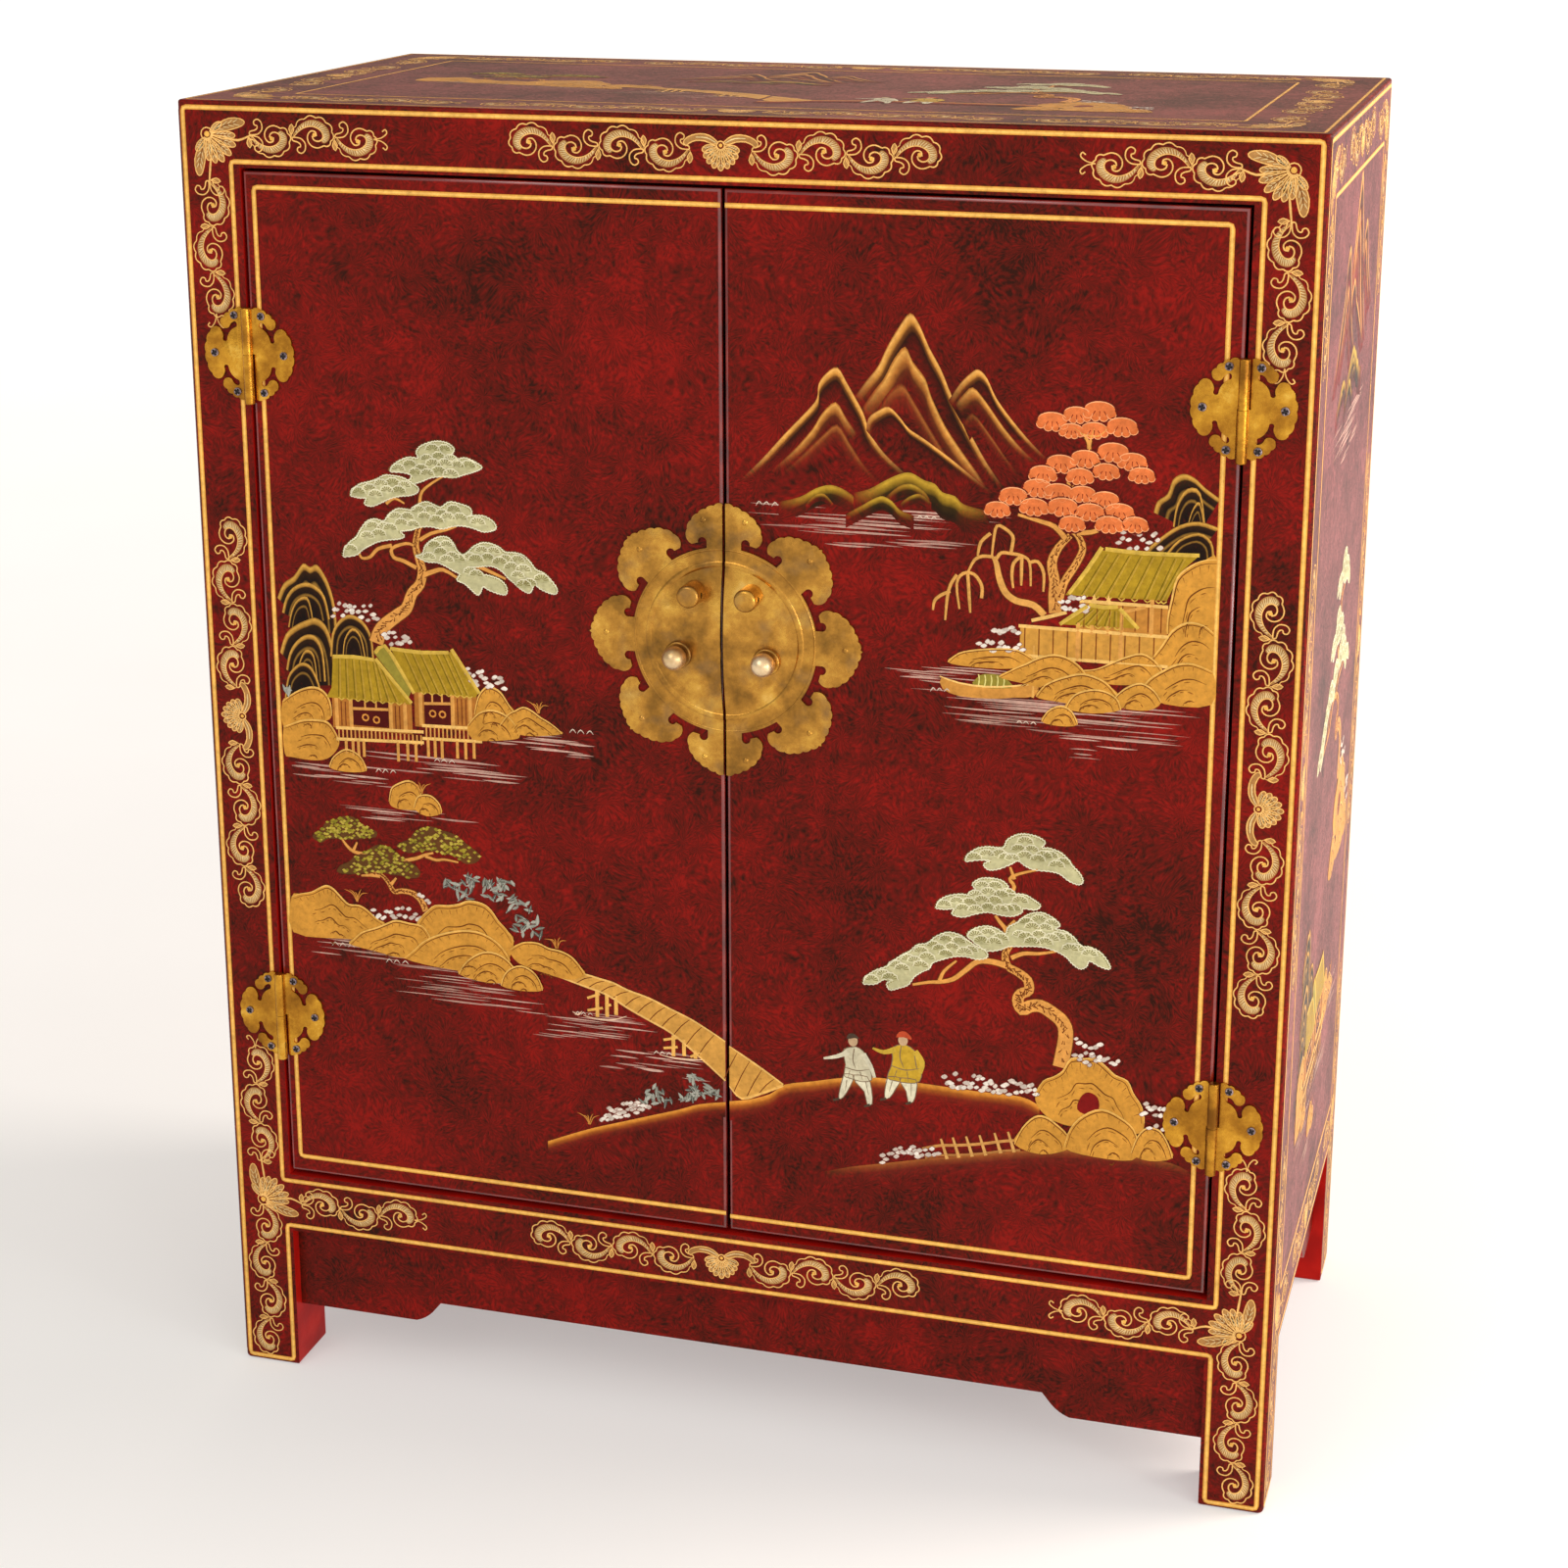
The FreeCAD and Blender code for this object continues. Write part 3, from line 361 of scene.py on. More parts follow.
def smoothed(points, steps=4, closed=False):
    """More points along a soft curve through the given ones."""
    points = spots(points)
    count = len(points)
    if count < 3:
        return [tuple(map(float, p)) for p in points]
    made = []
    for i in range(count if closed else count - 1):
        picks = [k % count if closed else min(max(k, 0), count - 1) for k in range(i - 1, i + 3)]
        p = [points[k] for k in picks]
        for s in range(steps):
            t = s / steps
            made.append(tuple(0.5 * (2 * b + (c - a) * t + (2 * a - 5 * b + 4 * c - d) * t * t
                                     + (3 * b - a - 3 * c + d) * t ** 3) for a, b, c, d in zip(*p)))
    if not closed:
        made.append(tuple(map(float, points[-1])))
    return made


def heading(path, i):
    """The way a path runs at one of its points."""
    before, after = path[max(i - 1, 0)], path[min(i + 1, len(path) - 1)]
    du, dv = after[0] - before[0], after[1] - before[1]
    size = math.hypot(du, dv) or 1.0
    return du, dv, size


def line_stroke(points, width, tint, lift=0.16, ends=(1.0, 1.0), steps=4, rise=0.06, cover=1.0):
    """A brush stroke: a low ridge along a line, as (corner points with height, faces, tints)."""
    path = smoothed(points, steps)
    corners, faces, tints = [], [], []
    start, end = width if isinstance(width, tuple) else (width, width)
    for i, (u, v) in enumerate(path):
        du, dv, size = heading(path, i)
        t = i / (len(path) - 1)
        body = 1 - (1 - ends[0]) * max(0.0, 1 - 2.5 * t) - (1 - ends[1]) * max(0.0, 2.5 * t - 1.5)
        half = (start + (end - start) * t) * body / 2
        nu, nv = -dv / size * half, du / size * half
        corners += [(u - nu, v - nv, lift), (u, v, lift + rise * body), (u + nu, v + nv, lift)]
        # the middle row of a gilt stroke takes its paler tint, a painted highlight
        tints += [(tint, cover), (GILT_PAINTED_HIGHLIGHTS.get(tint, tint), cover), (tint, cover)]
        if i:
            k = 3 * i
            faces += [(k - 3, k, k + 1, k - 2), (k - 2, k + 1, k + 2, k - 1)]
    return corners, faces, tints


def outline(edge, width, tint, lift, ends=(1, 1), steps=2, rise=0.08, cover=1.0):
    """A stroke all round a shape, back to where it began."""
    return line_stroke(edge + edge[:1], width, tint, lift, ends, steps, rise, cover)


def fill(edge, tint, lift=0.08, steps=3, cover=1.0):
    """A flat filled shape inside a closed edge, softened where it has steps."""
    path = smoothed(edge, steps, True) if steps else [tuple(p) for p in spots(edge)]
    if sum(a[0] * b[1] - b[0] * a[1] for a, b in zip(path, path[1:] + path[:1])) < 0:
        path.reverse()
    faces = []
    for a, b, c in tessellate_polygon([[Vector((u, v, 0)) for u, v in path]]):
        way = ((path[b][0] - path[a][0]) * (path[c][1] - path[a][1])
               - (path[c][0] - path[a][0]) * (path[b][1] - path[a][1]))
        faces.append((a, b, c) if way > 0 else (a, c, b))
    return [(u, v, lift) for u, v in path], faces, [(tint, cover)] * len(path)


def painted(name, body, shapes, step=0.0, face="front"):
    """One painted piece on a face of the cabinet, made of strokes and fills, each a step above the last."""
    points, faces, tints = [], [], []
    for k, (corners, parts, shape_tints) in enumerate(shapes):
        first = len(points)
        points += [FACES[face](u, v, h + k * step) for u, v, h in corners]
        faces += [tuple(first + i for i in (part[::-1] if face == "left" else part)) for part in parts]
        tints += shape_tints
    piece = new_piece(name, points, faces, paint)
    layer = piece.data.color_attributes.new("paint", "FLOAT_COLOR", "POINT")
    for spot, (tint, cover) in zip(layer.data, tints):
        spot.color = colour(tint)[:3] + (cover,)
    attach(piece, body)


# the paint: each stroke has its own tint, a little uneven, and thins out to the lacquer where it is rubbed
paint, tree, shader = finish("brushed_paint", Specular_IOR_Level=0.07)
tint = add(tree, "Attribute", attribute_name="paint")
place = on_piece(tree)
ground = dabbed_ground(tree)
uneven = noise(tree, place, 240.0, 4, 0.6)
broad = noise(tree, place, 45.0, 2)
worn = calc(tree, "MULTIPLY", spread(tree, uneven, 0.3, 0.7, 0.78, 1.12),
            spread(tree, broad, 0.3, 0.7, 0.86, 1.06))
laid = vector(tree, "SCALE", tint.outputs["Color"], scale=worn)
thin = calc(tree, "MULTIPLY", tint.outputs["Alpha"],
            spread(tree, noise(tree, place, 500.0, 2), 0.22, 0.4, 0.75, 1.0))
wire(tree, shader, Base_Color=blend_colours(tree, thin, ground["Colour"], laid))
parts = add(tree, "SeparateColor", {"Color": tint.outputs["Color"]}).outputs
yellow = calc(tree, "SUBTRACT", parts["Red"], parts["Blue"])
wire(tree, shader, Metallic=spread(tree, calc(tree, "MULTIPLY", yellow, thin), 0.2, 0.6, 0.0, 0.35),
     Roughness=spread(tree, uneven, 0.3, 0.7, 0.34, 0.5))
relief(tree, shader, uneven, 0.00012)
SOFT_CORNER = 2.5


def ruled(points, closed=True, width=3.2):
    """A gilt line round a run of corners, each corner softly rounded as a brush leaves it."""
    path = []
    count = len(points)
    for i, (u, v) in enumerate(points):
        if not closed and i in (0, count - 1):
            path.append((u, v))
            continue
        near = []
        for a, b in (points[i - 1], points[(i + 1) % count]):
            size = math.hypot(a - u, b - v)
            near.append((u + (a - u) / size * SOFT_CORNER, v + (b - v) / size * SOFT_CORNER))
        (a, b), (c, d) = near
        path += [near[0], (u * 0.5 + (a + c) / 4, v * 0.5 + (b + d) / 4), near[1]]
    if closed:
        path += path[:2]
    return line_stroke(path, width, GILT, lift=0.08, steps=1, rise=0.12)


def box_line(u0, v0, u1, v1):
    return ruled([(u0, v0), (u0, v1), (u1, v1), (u1, v0)])


def leg_line(width):
    """The outer line of a face with two legs: up the outer edges, and back round the legs and the rail."""
    return ruled([(4.4, 4.0), (4.4, 902.4), (width - 4.4, 902.4), (width - 4.4, 4.0), (width - 38.8, 4.0),
                  (width - 38.8, 112.0), (38.8, 112.0), (38.8, 4.0)])


painted("gilt_lines_frame", "carcass", [leg_line(740.0), box_line(37.0, 147.0, 703.0, 868.3)])
for side, outer, meeting, low in (("left", 52.2, 368.5, 167.8), ("right", 684.8, 371.5, 166.0)):
    painted("gilt_lines_door_" + side, side + "_door",
            [ruled([(meeting, low), (outer, low), (outer, 852.4), (meeting, 852.4)], closed=False)])

# Running scrolls between the gilt lines: acanthus leaves that curl to one side and the other in turn, in fine
# gilt line combed with cream, with a palmette in the middle of each run and one in each corner.
WASH, COMB, BEAD = "B08048", "E2C68E", "E8AE52"
SCROLL_STEP = 30.0
LEAF_EDGE = spots("0,0 2.2,5.2 6.2,9.6 12,12.2 18,12.2 23.4,10 27.2,5.8 28,1 26.2,-3 22.4,-5")
LEAF_RIB = spots("0.8,1.0 3.3,4.8 7,8.4 12.2,10.8 17.6,10.8 22.4,8.8 25.8,5.2 26.6,1 25.2,-2 22.2,-3.6")
LEAF_INNER = spots("1.6,0.2 5.4,3.9 9.6,6.2 14.2,7.0 18.4,5.8 21.2,3.4 21.8,0.4 20.2,-1.8 17.4,-2.4 15,-1.2 "
                   "14.4,1.0")
CURL = spots("22.4,-5 18,-6.6 13.8,-5.6 11.2,-2.4 11.2,1.4 13.6,4.0 16.6,3.4 17,0.8")
HOOK_LEAF = spots("0.2,-0.4 3.2,-0.4 6.6,-1.2 9.2,-4.2 8.8,-8.4 6.2,-10.4 3.6,-9 4,-6.8 5.8,-6.2 5.6,-4.4 "
                  "3.6,-3.2 0.6,-2.4")
BUD = spots("-0.4,1.2 1.6,4.4 0.2,8 -1.8,5")


def scalloped(points, bumps, depth):
    """The same line broken into little outward bumps."""
    path = smoothed(points, 6)
    made = []
    for i, (u, v) in enumerate(path):
        du, dv, size = heading(path, i)
        out = depth * abs(math.sin(math.pi * bumps * i / (len(path) - 1)))
        made.append((u - dv / size * out, v + du / size * out))
    return made


def toward(place, goal, share):
    """The place that lies a share of the way to a goal."""
    return place[0] + (goal[0] - place[0]) * share, place[1] + (goal[1] - place[1]) * share


def placed(shapes, origin, along, flip=1):
    """Shapes in a pattern's own millimetres, turned to run along a direction from an origin."""
    au, av = along
    moved = []
    for corners, faces, tints in shapes:
        turned = [(origin[0] + a * au - flip * b * av, origin[1] + a * av + flip * b * au, h)
                  for a, b, h in corners]
        moved.append((turned, [part[::-1] for part in faces] if flip < 0 else faces, tints))
    return moved


# one leaf that curls into a volute, with the hook leaf and the bud at its root
scroll_unit = [fill(LEAF_RIB + LEAF_INNER[7::-1], WASH, 0.06, cover=0.85)]
rib, inner = smoothed(LEAF_RIB, 3), smoothed(LEAF_INNER[:8], 3)
for k in range(2, len(rib) - 1):
    near, far = rib[k], inner[min(round(k * (len(inner) - 1) / (len(rib) - 1)), len(inner) - 1)]
    scroll_unit.append(line_stroke([toward(near, far, 0.15), toward(near, far, 0.9)], 0.8, COMB, 0.08,
                                   (0.4, 0.9), 1, 0.02, 0.9))
scroll_unit += [
    line_stroke(scalloped(LEAF_EDGE, 7, 1.3), 0.95, SCROLL_GILT, 0.1, (0.5, 1), 1, 0.08),
    line_stroke(LEAF_INNER, 0.95, SCROLL_GILT, 0.1, (0.6, 1.2), 3, 0.08),
    line_stroke(CURL, 0.95, SCROLL_GILT, 0.1, (1, 1.3), 3, 0.08),
    fill([(15.7 + 1.4 * math.cos(t), 1.6 + 1.4 * math.sin(t)) for t in (0, 1.3, 2.5, 3.8, 5)], BEAD, 0.12, 2),
    outline(HOOK_LEAF, 0.95, SCROLL_GILT, 0.11, steps=3),
    fill(BUD, WASH, 0.1, 2, 0.9), outline(BUD, 0.8, SCROLL_GILT, 0.13, rise=0.06)]


def scroll_arm(origin, along, units, flip=1):
    shapes = []
    for k in range(units):
        way = flip * (1 if k % 2 == 0 else -1)
        start = (origin[0] + along[0] * SCROLL_STEP * k, origin[1] + along[1] * SCROLL_STEP * k)
        shapes += placed(scroll_unit, start, along, way)
    return shapes


def petal(tip, width, bend=0.0, root=2.6):
    """A pointed petal from the palmette's heart out to its tip, with a dark midrib and combed sides."""
    long = math.hypot(*tip)
    a, b = tip[0] / long, tip[1] / long

    def at(share, side):
        r = root + (long - root) * share
        side += bend * math.sin(math.pi * share)
        return (r * a - side * b, r * b + side * a)
    half = width / 2 + 0.3
    edge = [at(share, side * half) for share, side in (
        (0, 0), (0.3, 0.75), (0.62, 1), (0.9, 0.65), (1, 0), (0.9, -0.65), (0.62, -1), (0.3, -0.75))]
    shapes = [fill(edge, WASH, 0.07, 2, 0.9)]
    for share in (0.25, 0.4, 0.55, 0.7):
        for side in (-1, 1):
            shapes.append(line_stroke([at(share, side * half * 0.15), at(share + 0.14, side * half * 0.6)],
                                      0.6, COMB, 0.09, (1, 0.6), 1, 0.02, 0.9))
    return shapes + [outline(edge, 0.85, SCROLL_GILT, 0.11),
                     line_stroke([at(0, 0), at(0.45, 0), at(0.8, 0)], 0.6, "6A3A18", 0.1, (1, 0.3), 2, 0.03)]


def ringed_heart(radius):
    """The round boss that the petals spring from."""
    turn = [(math.cos(k * math.pi / 6), math.sin(k * math.pi / 6)) for k in range(13)]
    return [line_stroke([(radius * c, radius * s) for c, s in turn], 0.95, SCROLL_GILT, 0.13, steps=1,
                        rise=0.1),
            fill([(radius * 0.45 * c, radius * 0.45 * s) for c, s in turn[:-1]], BEAD, 0.13, 0)]


PALMETTE_PETALS, PALMETTE_SPREAD = 9, 150
WING = spots("1.5,1.4 5,4.6 10,6.6 16,6.4 21.4,4.4 24,1.4 22.4,-0.8 20.4,0.8 16,2.6 10,2.4 5,0.6")


def palmette():
    """A fan of petals that points along -v, with two curled wings over it."""
    shapes = []
    for k in range(PALMETTE_PETALS):
        lean = (k / (PALMETTE_PETALS - 1) - 0.5) * math.radians(PALMETTE_SPREAD)
        long = 15.5 - 2.4 * abs(lean)
        shapes += petal((long * math.sin(lean), -long * math.cos(lean)), 4.0)
    shapes += ringed_heart(2.6)
    for way in (-1, 1):
        leaf = [(way * a, b) for a, b in WING]
        shapes += [fill(leaf, WASH, 0.06, 2, 0.85), outline(leaf, 0.85, SCROLL_GILT, 0.1),
                   line_stroke([(way * 3, 1.6), (way * 9, 4.4), (way * 16, 4.6)], 0.7, COMB, 0.1, (0.7, 0.7),
                               3, 0.04)]
    return shapes


HEART_OFFSET, ARM_START = 3.4, 20.0


def run_of_scroll(middle, along, units, inward):
    """A palmette with an arm of scroll to each side of it."""
    back = (-along[0], -along[1])
    heart = (middle[0] - along[1] * inward * HEART_OFFSET, middle[1] + along[0] * inward * HEART_OFFSET)
    shapes = placed(palmette(), heart, along, inward)
    for way, flip in ((along, -inward), (back, inward)):
        shapes += scroll_arm((middle[0] + way[0] * ARM_START, middle[1] + way[1] * ARM_START), way, units,
                             flip)
    return shapes


CORNER_PETALS = ((10.5, -7.5, 3.8, 0), (27, -8.5, 6.6, -1.6), (20, 0.5, 4.2, 0), (20, 7, 4.6, 0),
                 (16.5, 13, 4.8, 0), (11, 17.5, 4.8, 0), (5.5, 18.5, 4.4, 0), (0.5, 17, 4.2, 0),
                 (-7, 27, 6.6, 1.6), (-8, 11, 3.8, 0))
CORNER_REACH = 30.0


def corner_scroll(corner, across, down, units_across, units_down):
    """A wide palmette fanned into a corner, with an arm of scroll along each side that ends in a hook."""
    shapes = []
    for a, b, width, bend in CORNER_PETALS:
        shapes += petal((a, b), width, bend)
    for bend in (((14, 2), (22, 3.4), (CORNER_REACH + 1, 0)), ((2, 15), (1, 23), (0, CORNER_REACH + 1))):
        shapes.append(line_stroke(bend, (2.2, 1.1), SCROLL_GILT, 0.1, (0.4, 1), 3, 0.1))
    out = placed(shapes + ringed_heart(4.2), corner, (across, 0), across * down)
    for along, units, flip in (((across, 0), units_across, across * down),
                               ((0, down), units_down, -across * down)):
        start = (corner[0] + along[0] * CORNER_REACH, corner[1] + along[1] * CORNER_REACH)
        out += scroll_arm(start, along, units, flip)
        out += placed([line_stroke(HOOK_LEAF, 0.9, SCROLL_GILT, 0.11, (1, 1), 3, 0.08)], start, along, -flip)
        hook = [line_stroke([(-3, s * 0.2), (2, s * 1), (6, s * 4), (5, s * 6.4), (3, s * 5)], 0.95,
                            SCROLL_GILT, 0.12, (0.6, 1), 3) for s in (-1, 1)]
        tip = (start[0] + along[0] * SCROLL_STEP * units, start[1] + along[1] * SCROLL_STEP * units)
        out += placed(hook, tip, along)
    return out


front_scrolls = run_of_scroll((369, 885.5), (1, 0), 4, 1) + run_of_scroll((365, 130.0), (1, 0), 4, 1)
for centre, across in ((21.0, 1), (719.0, -1)):
    front_scrolls += run_of_scroll((centre, 492.0), (0, 1), 4, -across)
    front_scrolls += corner_scroll((centre, 885.5), across, -1, 3, 3)
    front_scrolls += corner_scroll((centre, 129.5), across, 1, 3, 3)
    front_scrolls += scroll_arm((centre, 125.0), (0, -1), 4, across)
painted("gilt_scrolls_front", "carcass", front_scrolls)

# Mountains and low hills across the water, on the right door. Each ridge is a gilt edge that the painter drew
# out into brown and black and then rubbed away into the red ground.
def shaded(ridge, sink, stops, lift=0.05, foot=None, ends=2):
    """Rows of paint from a ridge towards a point, or straight down by a depth, as (share, tint, cover)."""
    path = smoothed(ridge, 3)
    low = min(v for u, v in path) if foot is None else foot
    corners, faces, tints = [], [], []
    for share, tint, cover in stops:
        for i, (u, v) in enumerate(path):
            if isinstance(sink, tuple):
                u, v = toward((u, v), sink, share)
            else:
                v -= sink * share
            near_end = min(1.0, (min(i, len(path) - 1 - i)) / (ends * 3)) if ends else 1.0
            near_foot = min(1.0, max(0.0, (v - low) / 16)) if isinstance(sink, tuple) else 1.0
            corners.append((u, v, lift))
            tints.append((tint, cover * near_end * near_foot))
    for row in range(len(stops) - 1):
        for i in range(len(path) - 1):
            k = row * len(path) + i
            faces.append((k, k + len(path), k + len(path) + 1, k + 1))
    return corners, faces, tints


OVER = 0.002
PEAK = ((0, "B9762E", 0.55), (0.015, "E8AC5A", 1), (0.045, "D2913F", 1), (0.075, "6A3C16", 1),
        (0.11, "27130A", 0.95), (0.17, "35130A", 0.6), (0.3, "5A140D", 0.0))
SMALL_PEAK = ((0, "B9762E", 0.5), (0.03, "DC9E4C", 1), (0.09, "A9692B", 0.95), (0.15, "5A2A12", 0.85),
              (0.24, "4A160C", 0.4), (0.4, "5A140D", 0.0))
FAINT_PEAK = ((0, "8A4A20", 0.2), (0.04, "A8642C", 0.75), (0.12, "7A3418", 0.5), (0.3, "6B1B14", 0.0))
OLIVE_HILL = ((0, "A8862C", 0.9), (0.12, "BE962F", 1), (0.3, "8A6A1C", 1), (0.5, "33240A", 1),
              (0.8, "26180A", 1), (1.0, "2C160A", 0.9))

mountains = [
    shaded("455,737 463,748 470,757 476,770 483,782 490,791 496,784 502,771 510,757 517,741 527,722 540,700 "
           "552,684", (503, 680), PEAK),
    shaded("459,729 468,742 474,750 480,762 487,770 492,761 500,751 504,740 513,722 525,705 535,692 542,681",
           (497, 678), SMALL_PEAK),
    shaded("468,726 476,740 485,747 492,738 502,722 514,704 526,688", (495, 678), FAINT_PEAK),
    shaded("515,738 522,749 530,757 534,758 539,753 545,741 556,727 568,714 580,703", (545, 690), PEAK),
    shaded("519,736 524,742 530,747 538,739 550,723 562,710 573,701", (542, 692), SMALL_PEAK),
    shaded("524,724 530,731 540,720 552,704 562,692", (540, 690), FAINT_PEAK),
    shaded("380,679 395,694 410,711 425,727 431,735 432,744 437,751 444,755 450,746 456,736 461,727 466,714 "
           "475,702 490,689", (441, 676), PEAK),
    shaded("400,686 415,700 428,715 434,725 443,733 450,723 457,714", (440, 676), SMALL_PEAK),
    shaded("406,684 420,697 434,711 444,719 452,708 462,694 474,682", (441, 674), FAINT_PEAK),
    shaded("463,716 464,724 470,729 477,732 484,726 490,719 500,713 515,703 530,692 545,681", (496, 678),
           PEAK),
    shaded("406,667 420,671 430,677 440,680 450,677 460,670", 12, OLIVE_HILL, 0.07),
    shaded("455,676 465,679 475,685 485,690 492,691 500,687 507,685 512,680 520,678 526,673 542,670", 17,
           OLIVE_HILL, 0.08),
    shaded("476,675 484,682 492,684 500,680 504,675", 8, OLIVE_HILL, 0.09),
    shaded("485,671 491,676 498,678 505,673", 6, OLIVE_HILL, 0.1),
    shaded("450,662 460,668 468,673 474,675 480,672 485,667 494,664", 9, OLIVE_HILL, 0.11),
    shaded("424,667 430,673 436,674 442,668", 5, OLIVE_HILL, 0.1),
]
painted("mountains", "right_door", mountains, OVER)

# Still water: long thin strokes of thinned pinkish white, drawn level with a dry brush on both doors.
# They lie thickest where the water laps the shore, with little curls of foam.
RIPPLE, FOAM = "C9A392", "D8C4B0"


def ripples(u0, u1, v0, v1, count, seed):
    """Level strokes scattered over a stretch of water, shorter and fainter away from its middle."""
    dice = random.Random(seed)
    shapes = []
    for k in range(count):
        v = v1 + (v0 - v1) * (k + dice.random() * 0.7) / count
        size = (u1 - u0) * dice.uniform(0.25, 0.62) * (1 - 0.45 * k / count)
        start = dice.uniform(u0, u1 - size)
        bend = dice.uniform(-0.5, 0.5)
        shapes.append(line_stroke([(start, v), (start + size / 2, v + bend), (start + size, v + bend / 3)],
                                  dice.uniform(0.6, 1.5), RIPPLE, 0.06, (0.1, 0.0), 3, 0.02,
                                  dice.uniform(0.4, 0.95)))
    return shapes


def foam(u, v, size, seed):
    """Little curls of foam against a bank."""
    dice = random.Random(seed)
    return [line_stroke([(u + dx, v + dice.uniform(-0.6, 0.6)), (u + dx + size * 0.3, v + size * 0.35),
                         (u + dx + size * 0.6, v + 0.4)], 0.8, FOAM, 0.08, (0.2, 0.2), 3, 0.04, 0.9)
            for dx in (0, size * 0.7, size * 1.5)]


pavilion_water = (
    ripples(58, 150, 450, 464, 13, 1) + ripples(110, 235, 461, 476, 13, 2)
    + ripples(195, 290, 484, 499, 11, 3) + foam(122, 461, 7, 4) + foam(262, 501, 8, 5)
    + foam(165, 472, 7, 6) + ripples(92, 198, 427, 436, 8, 7))
island_water = (
    ripples(56, 190, 322, 339, 18, 8) + ripples(120, 262, 298, 322, 20, 9) + foam(84, 331, 8, 10)
    + foam(124, 323, 8, 11) + foam(203, 316, 7, 12) + ripples(228, 322, 282, 303, 17, 13)
    + foam(262, 301, 6, 14) + ripples(276, 360, 263, 282, 14, 15) + foam(318, 279, 6, 16))
painted("water_left", "left_door", pavilion_water + island_water)
far_water = ripples(384, 560, 641, 667, 21, 17)
water_right = (
    far_water + foam(391, 664, 7, 18) + foam(496, 662, 6, 19) + ripples(474, 575, 556, 568, 11, 20)
    + foam(506, 551, 6, 21) + ripples(490, 682, 528, 552, 28, 22) + foam(562, 534, 6, 23)
    + ripples(585, 640, 514, 530, 6, 24))
painted("water_right", "right_door", water_right)

# Rocks and banks: solid gold paint over the ground, with a paler crest and folds drawn in reddish brown.
# Reeds in thin gold strokes and drifts of small white blossoms grow between them.
ROCK, ROCK_CREST, FOLD, FOLD_DASH, REED = "CA8E38", "E2B05C", "6A3A10", "8E5A1C", "C8843A"


def rock(text, folds=3):
    """A filled rock, from the points of its top and of its foot, with folds that follow its top."""
    top, foot = (spots(part) for part in text.split("|"))
    heart = (sum(u for u, v in foot) / len(foot), min(v for u, v in foot) - 2)
    shapes = [fill(top + foot, ROCK, 0.08, 3),
              line_stroke(top, 1.2, ROCK_CREST, 0.1, (0.3, 0.3), 3, 0.06),
              line_stroke([toward(p, heart, 0.045) for p in top], 0.7, FOLD, 0.1, (0.4, 0.4), 3, 0.02, 0.9)]
    for place in smoothed(top, 3)[2:-2:2]:
        comb = [toward(place, heart, 0.07), toward(place, heart, 0.15)]
        shapes.append(line_stroke(comb, 0.5, FOLD, 0.11, (0.8, 0.2), 1, 0.01, 0.7))
    for k in range(1, folds + 1):
        share = 0.9 - 0.24 * k
        bow = [(heart[0] + (u - heart[0]) * share + (k % 2 - 0.5) * 3, heart[1] + (v - heart[1]) * share)
               for u, v in top]
        shapes.append(line_stroke(bow[k % 2:len(bow) - 1 + k % 2], 0.9, FOLD, 0.11, (0.3, 0.1), 3, 0.02, 0.9))
        path = smoothed(bow, 3)
        for first in range(k % 2, len(path) - 3, 4):
            dash = [toward(p, heart, 0.1) for p in path[first:first + 3]]
            shapes.append(line_stroke(dash, 0.7, FOLD_DASH, 0.11, (0.4, 0.4), 1, 0.02, 0.8))
    return shapes


def several(make, *given):
    """The strokes of several things made in the same way, each from its own measures."""
    return [shape for measures in given for shape in make(*measures)]


def reeds(u, v, size, seed):
    dice = random.Random(seed)
    shapes = []
    for lean in (-size, -size * 0.6, -size * 0.2, size * 0.3, size * 0.8):
        blade = [(u + dice.uniform(-1, 1), v), (u + lean * 0.4, v + size * 0.6),
                 (u + lean, v + size * dice.uniform(0.6, 1))]
        shapes.append(line_stroke(blade, 0.7, REED, 0.12, (1, 0.1), 3, 0.04))
    return shapes


def blossoms(u0, v0, u1, v1, count, seed, slope=0.0):
    """A drift of small white dabs."""
    dice = random.Random(seed)
    shapes = []
    for k in range(count):
        u = u0 + (u1 - u0) * (k + dice.random()) / count
        v = dice.uniform(v0 - 1, v1 + 1) + slope * (u - u0)
        w, h = dice.uniform(1.5, 2.5), dice.uniform(1.1, 1.7)
        under = [(u - w - 0.4, v - 0.3), (u, v - h - 0.4), (u + w + 0.4, v + 0.2), (u + 0.3, v + h + 0.4)]
        petals = [(u - w, v - 0.3), (u, v - h), (u + w, v + 0.2), (u + 0.3, v + h)]
        shapes += [fill(under, "8E5548", 0.11, 2),
                   fill(petals, dice.choice(("D6C9BA", "BFB0A2", "E2D8CA")), 0.12, 2)]
    return shapes


shore_left = several(
    rock,
    ("55,505 60,509 68,514 77,517 84,516 89,511 91,504 91,498 | 87,494 70,488 55,487", 3),
    ("55,487 62,490 70,493 80,494 88,493 93,487 96,480 | 93,473 86,467 75,465 60,466 55,468", 3),
    ("88,461 90,467 95,472 101,475 108,473 113,468 115,461 | 100,459", 2),
    ("195,508 198,520 203,527 208,528 214,525 219,518 224,511 | 215,500 200,500", 3),
    ("190,500 198,509 208,512 218,509 224,503 227,496 | 222,493 200,490 192,492", 3),
    ("213,502 219,510 224,513 230,516 236,514 242,510 248,507 254,503 257,500 | 240,497 226,497", 3),
    ("131,441 133,450 138,454 146,457 152,454 155,447 | 154,438 143,436 134,437", 2),
    ("149,438 152,446 158,448 163,447 168,442 169,436 | 158,433", 2))
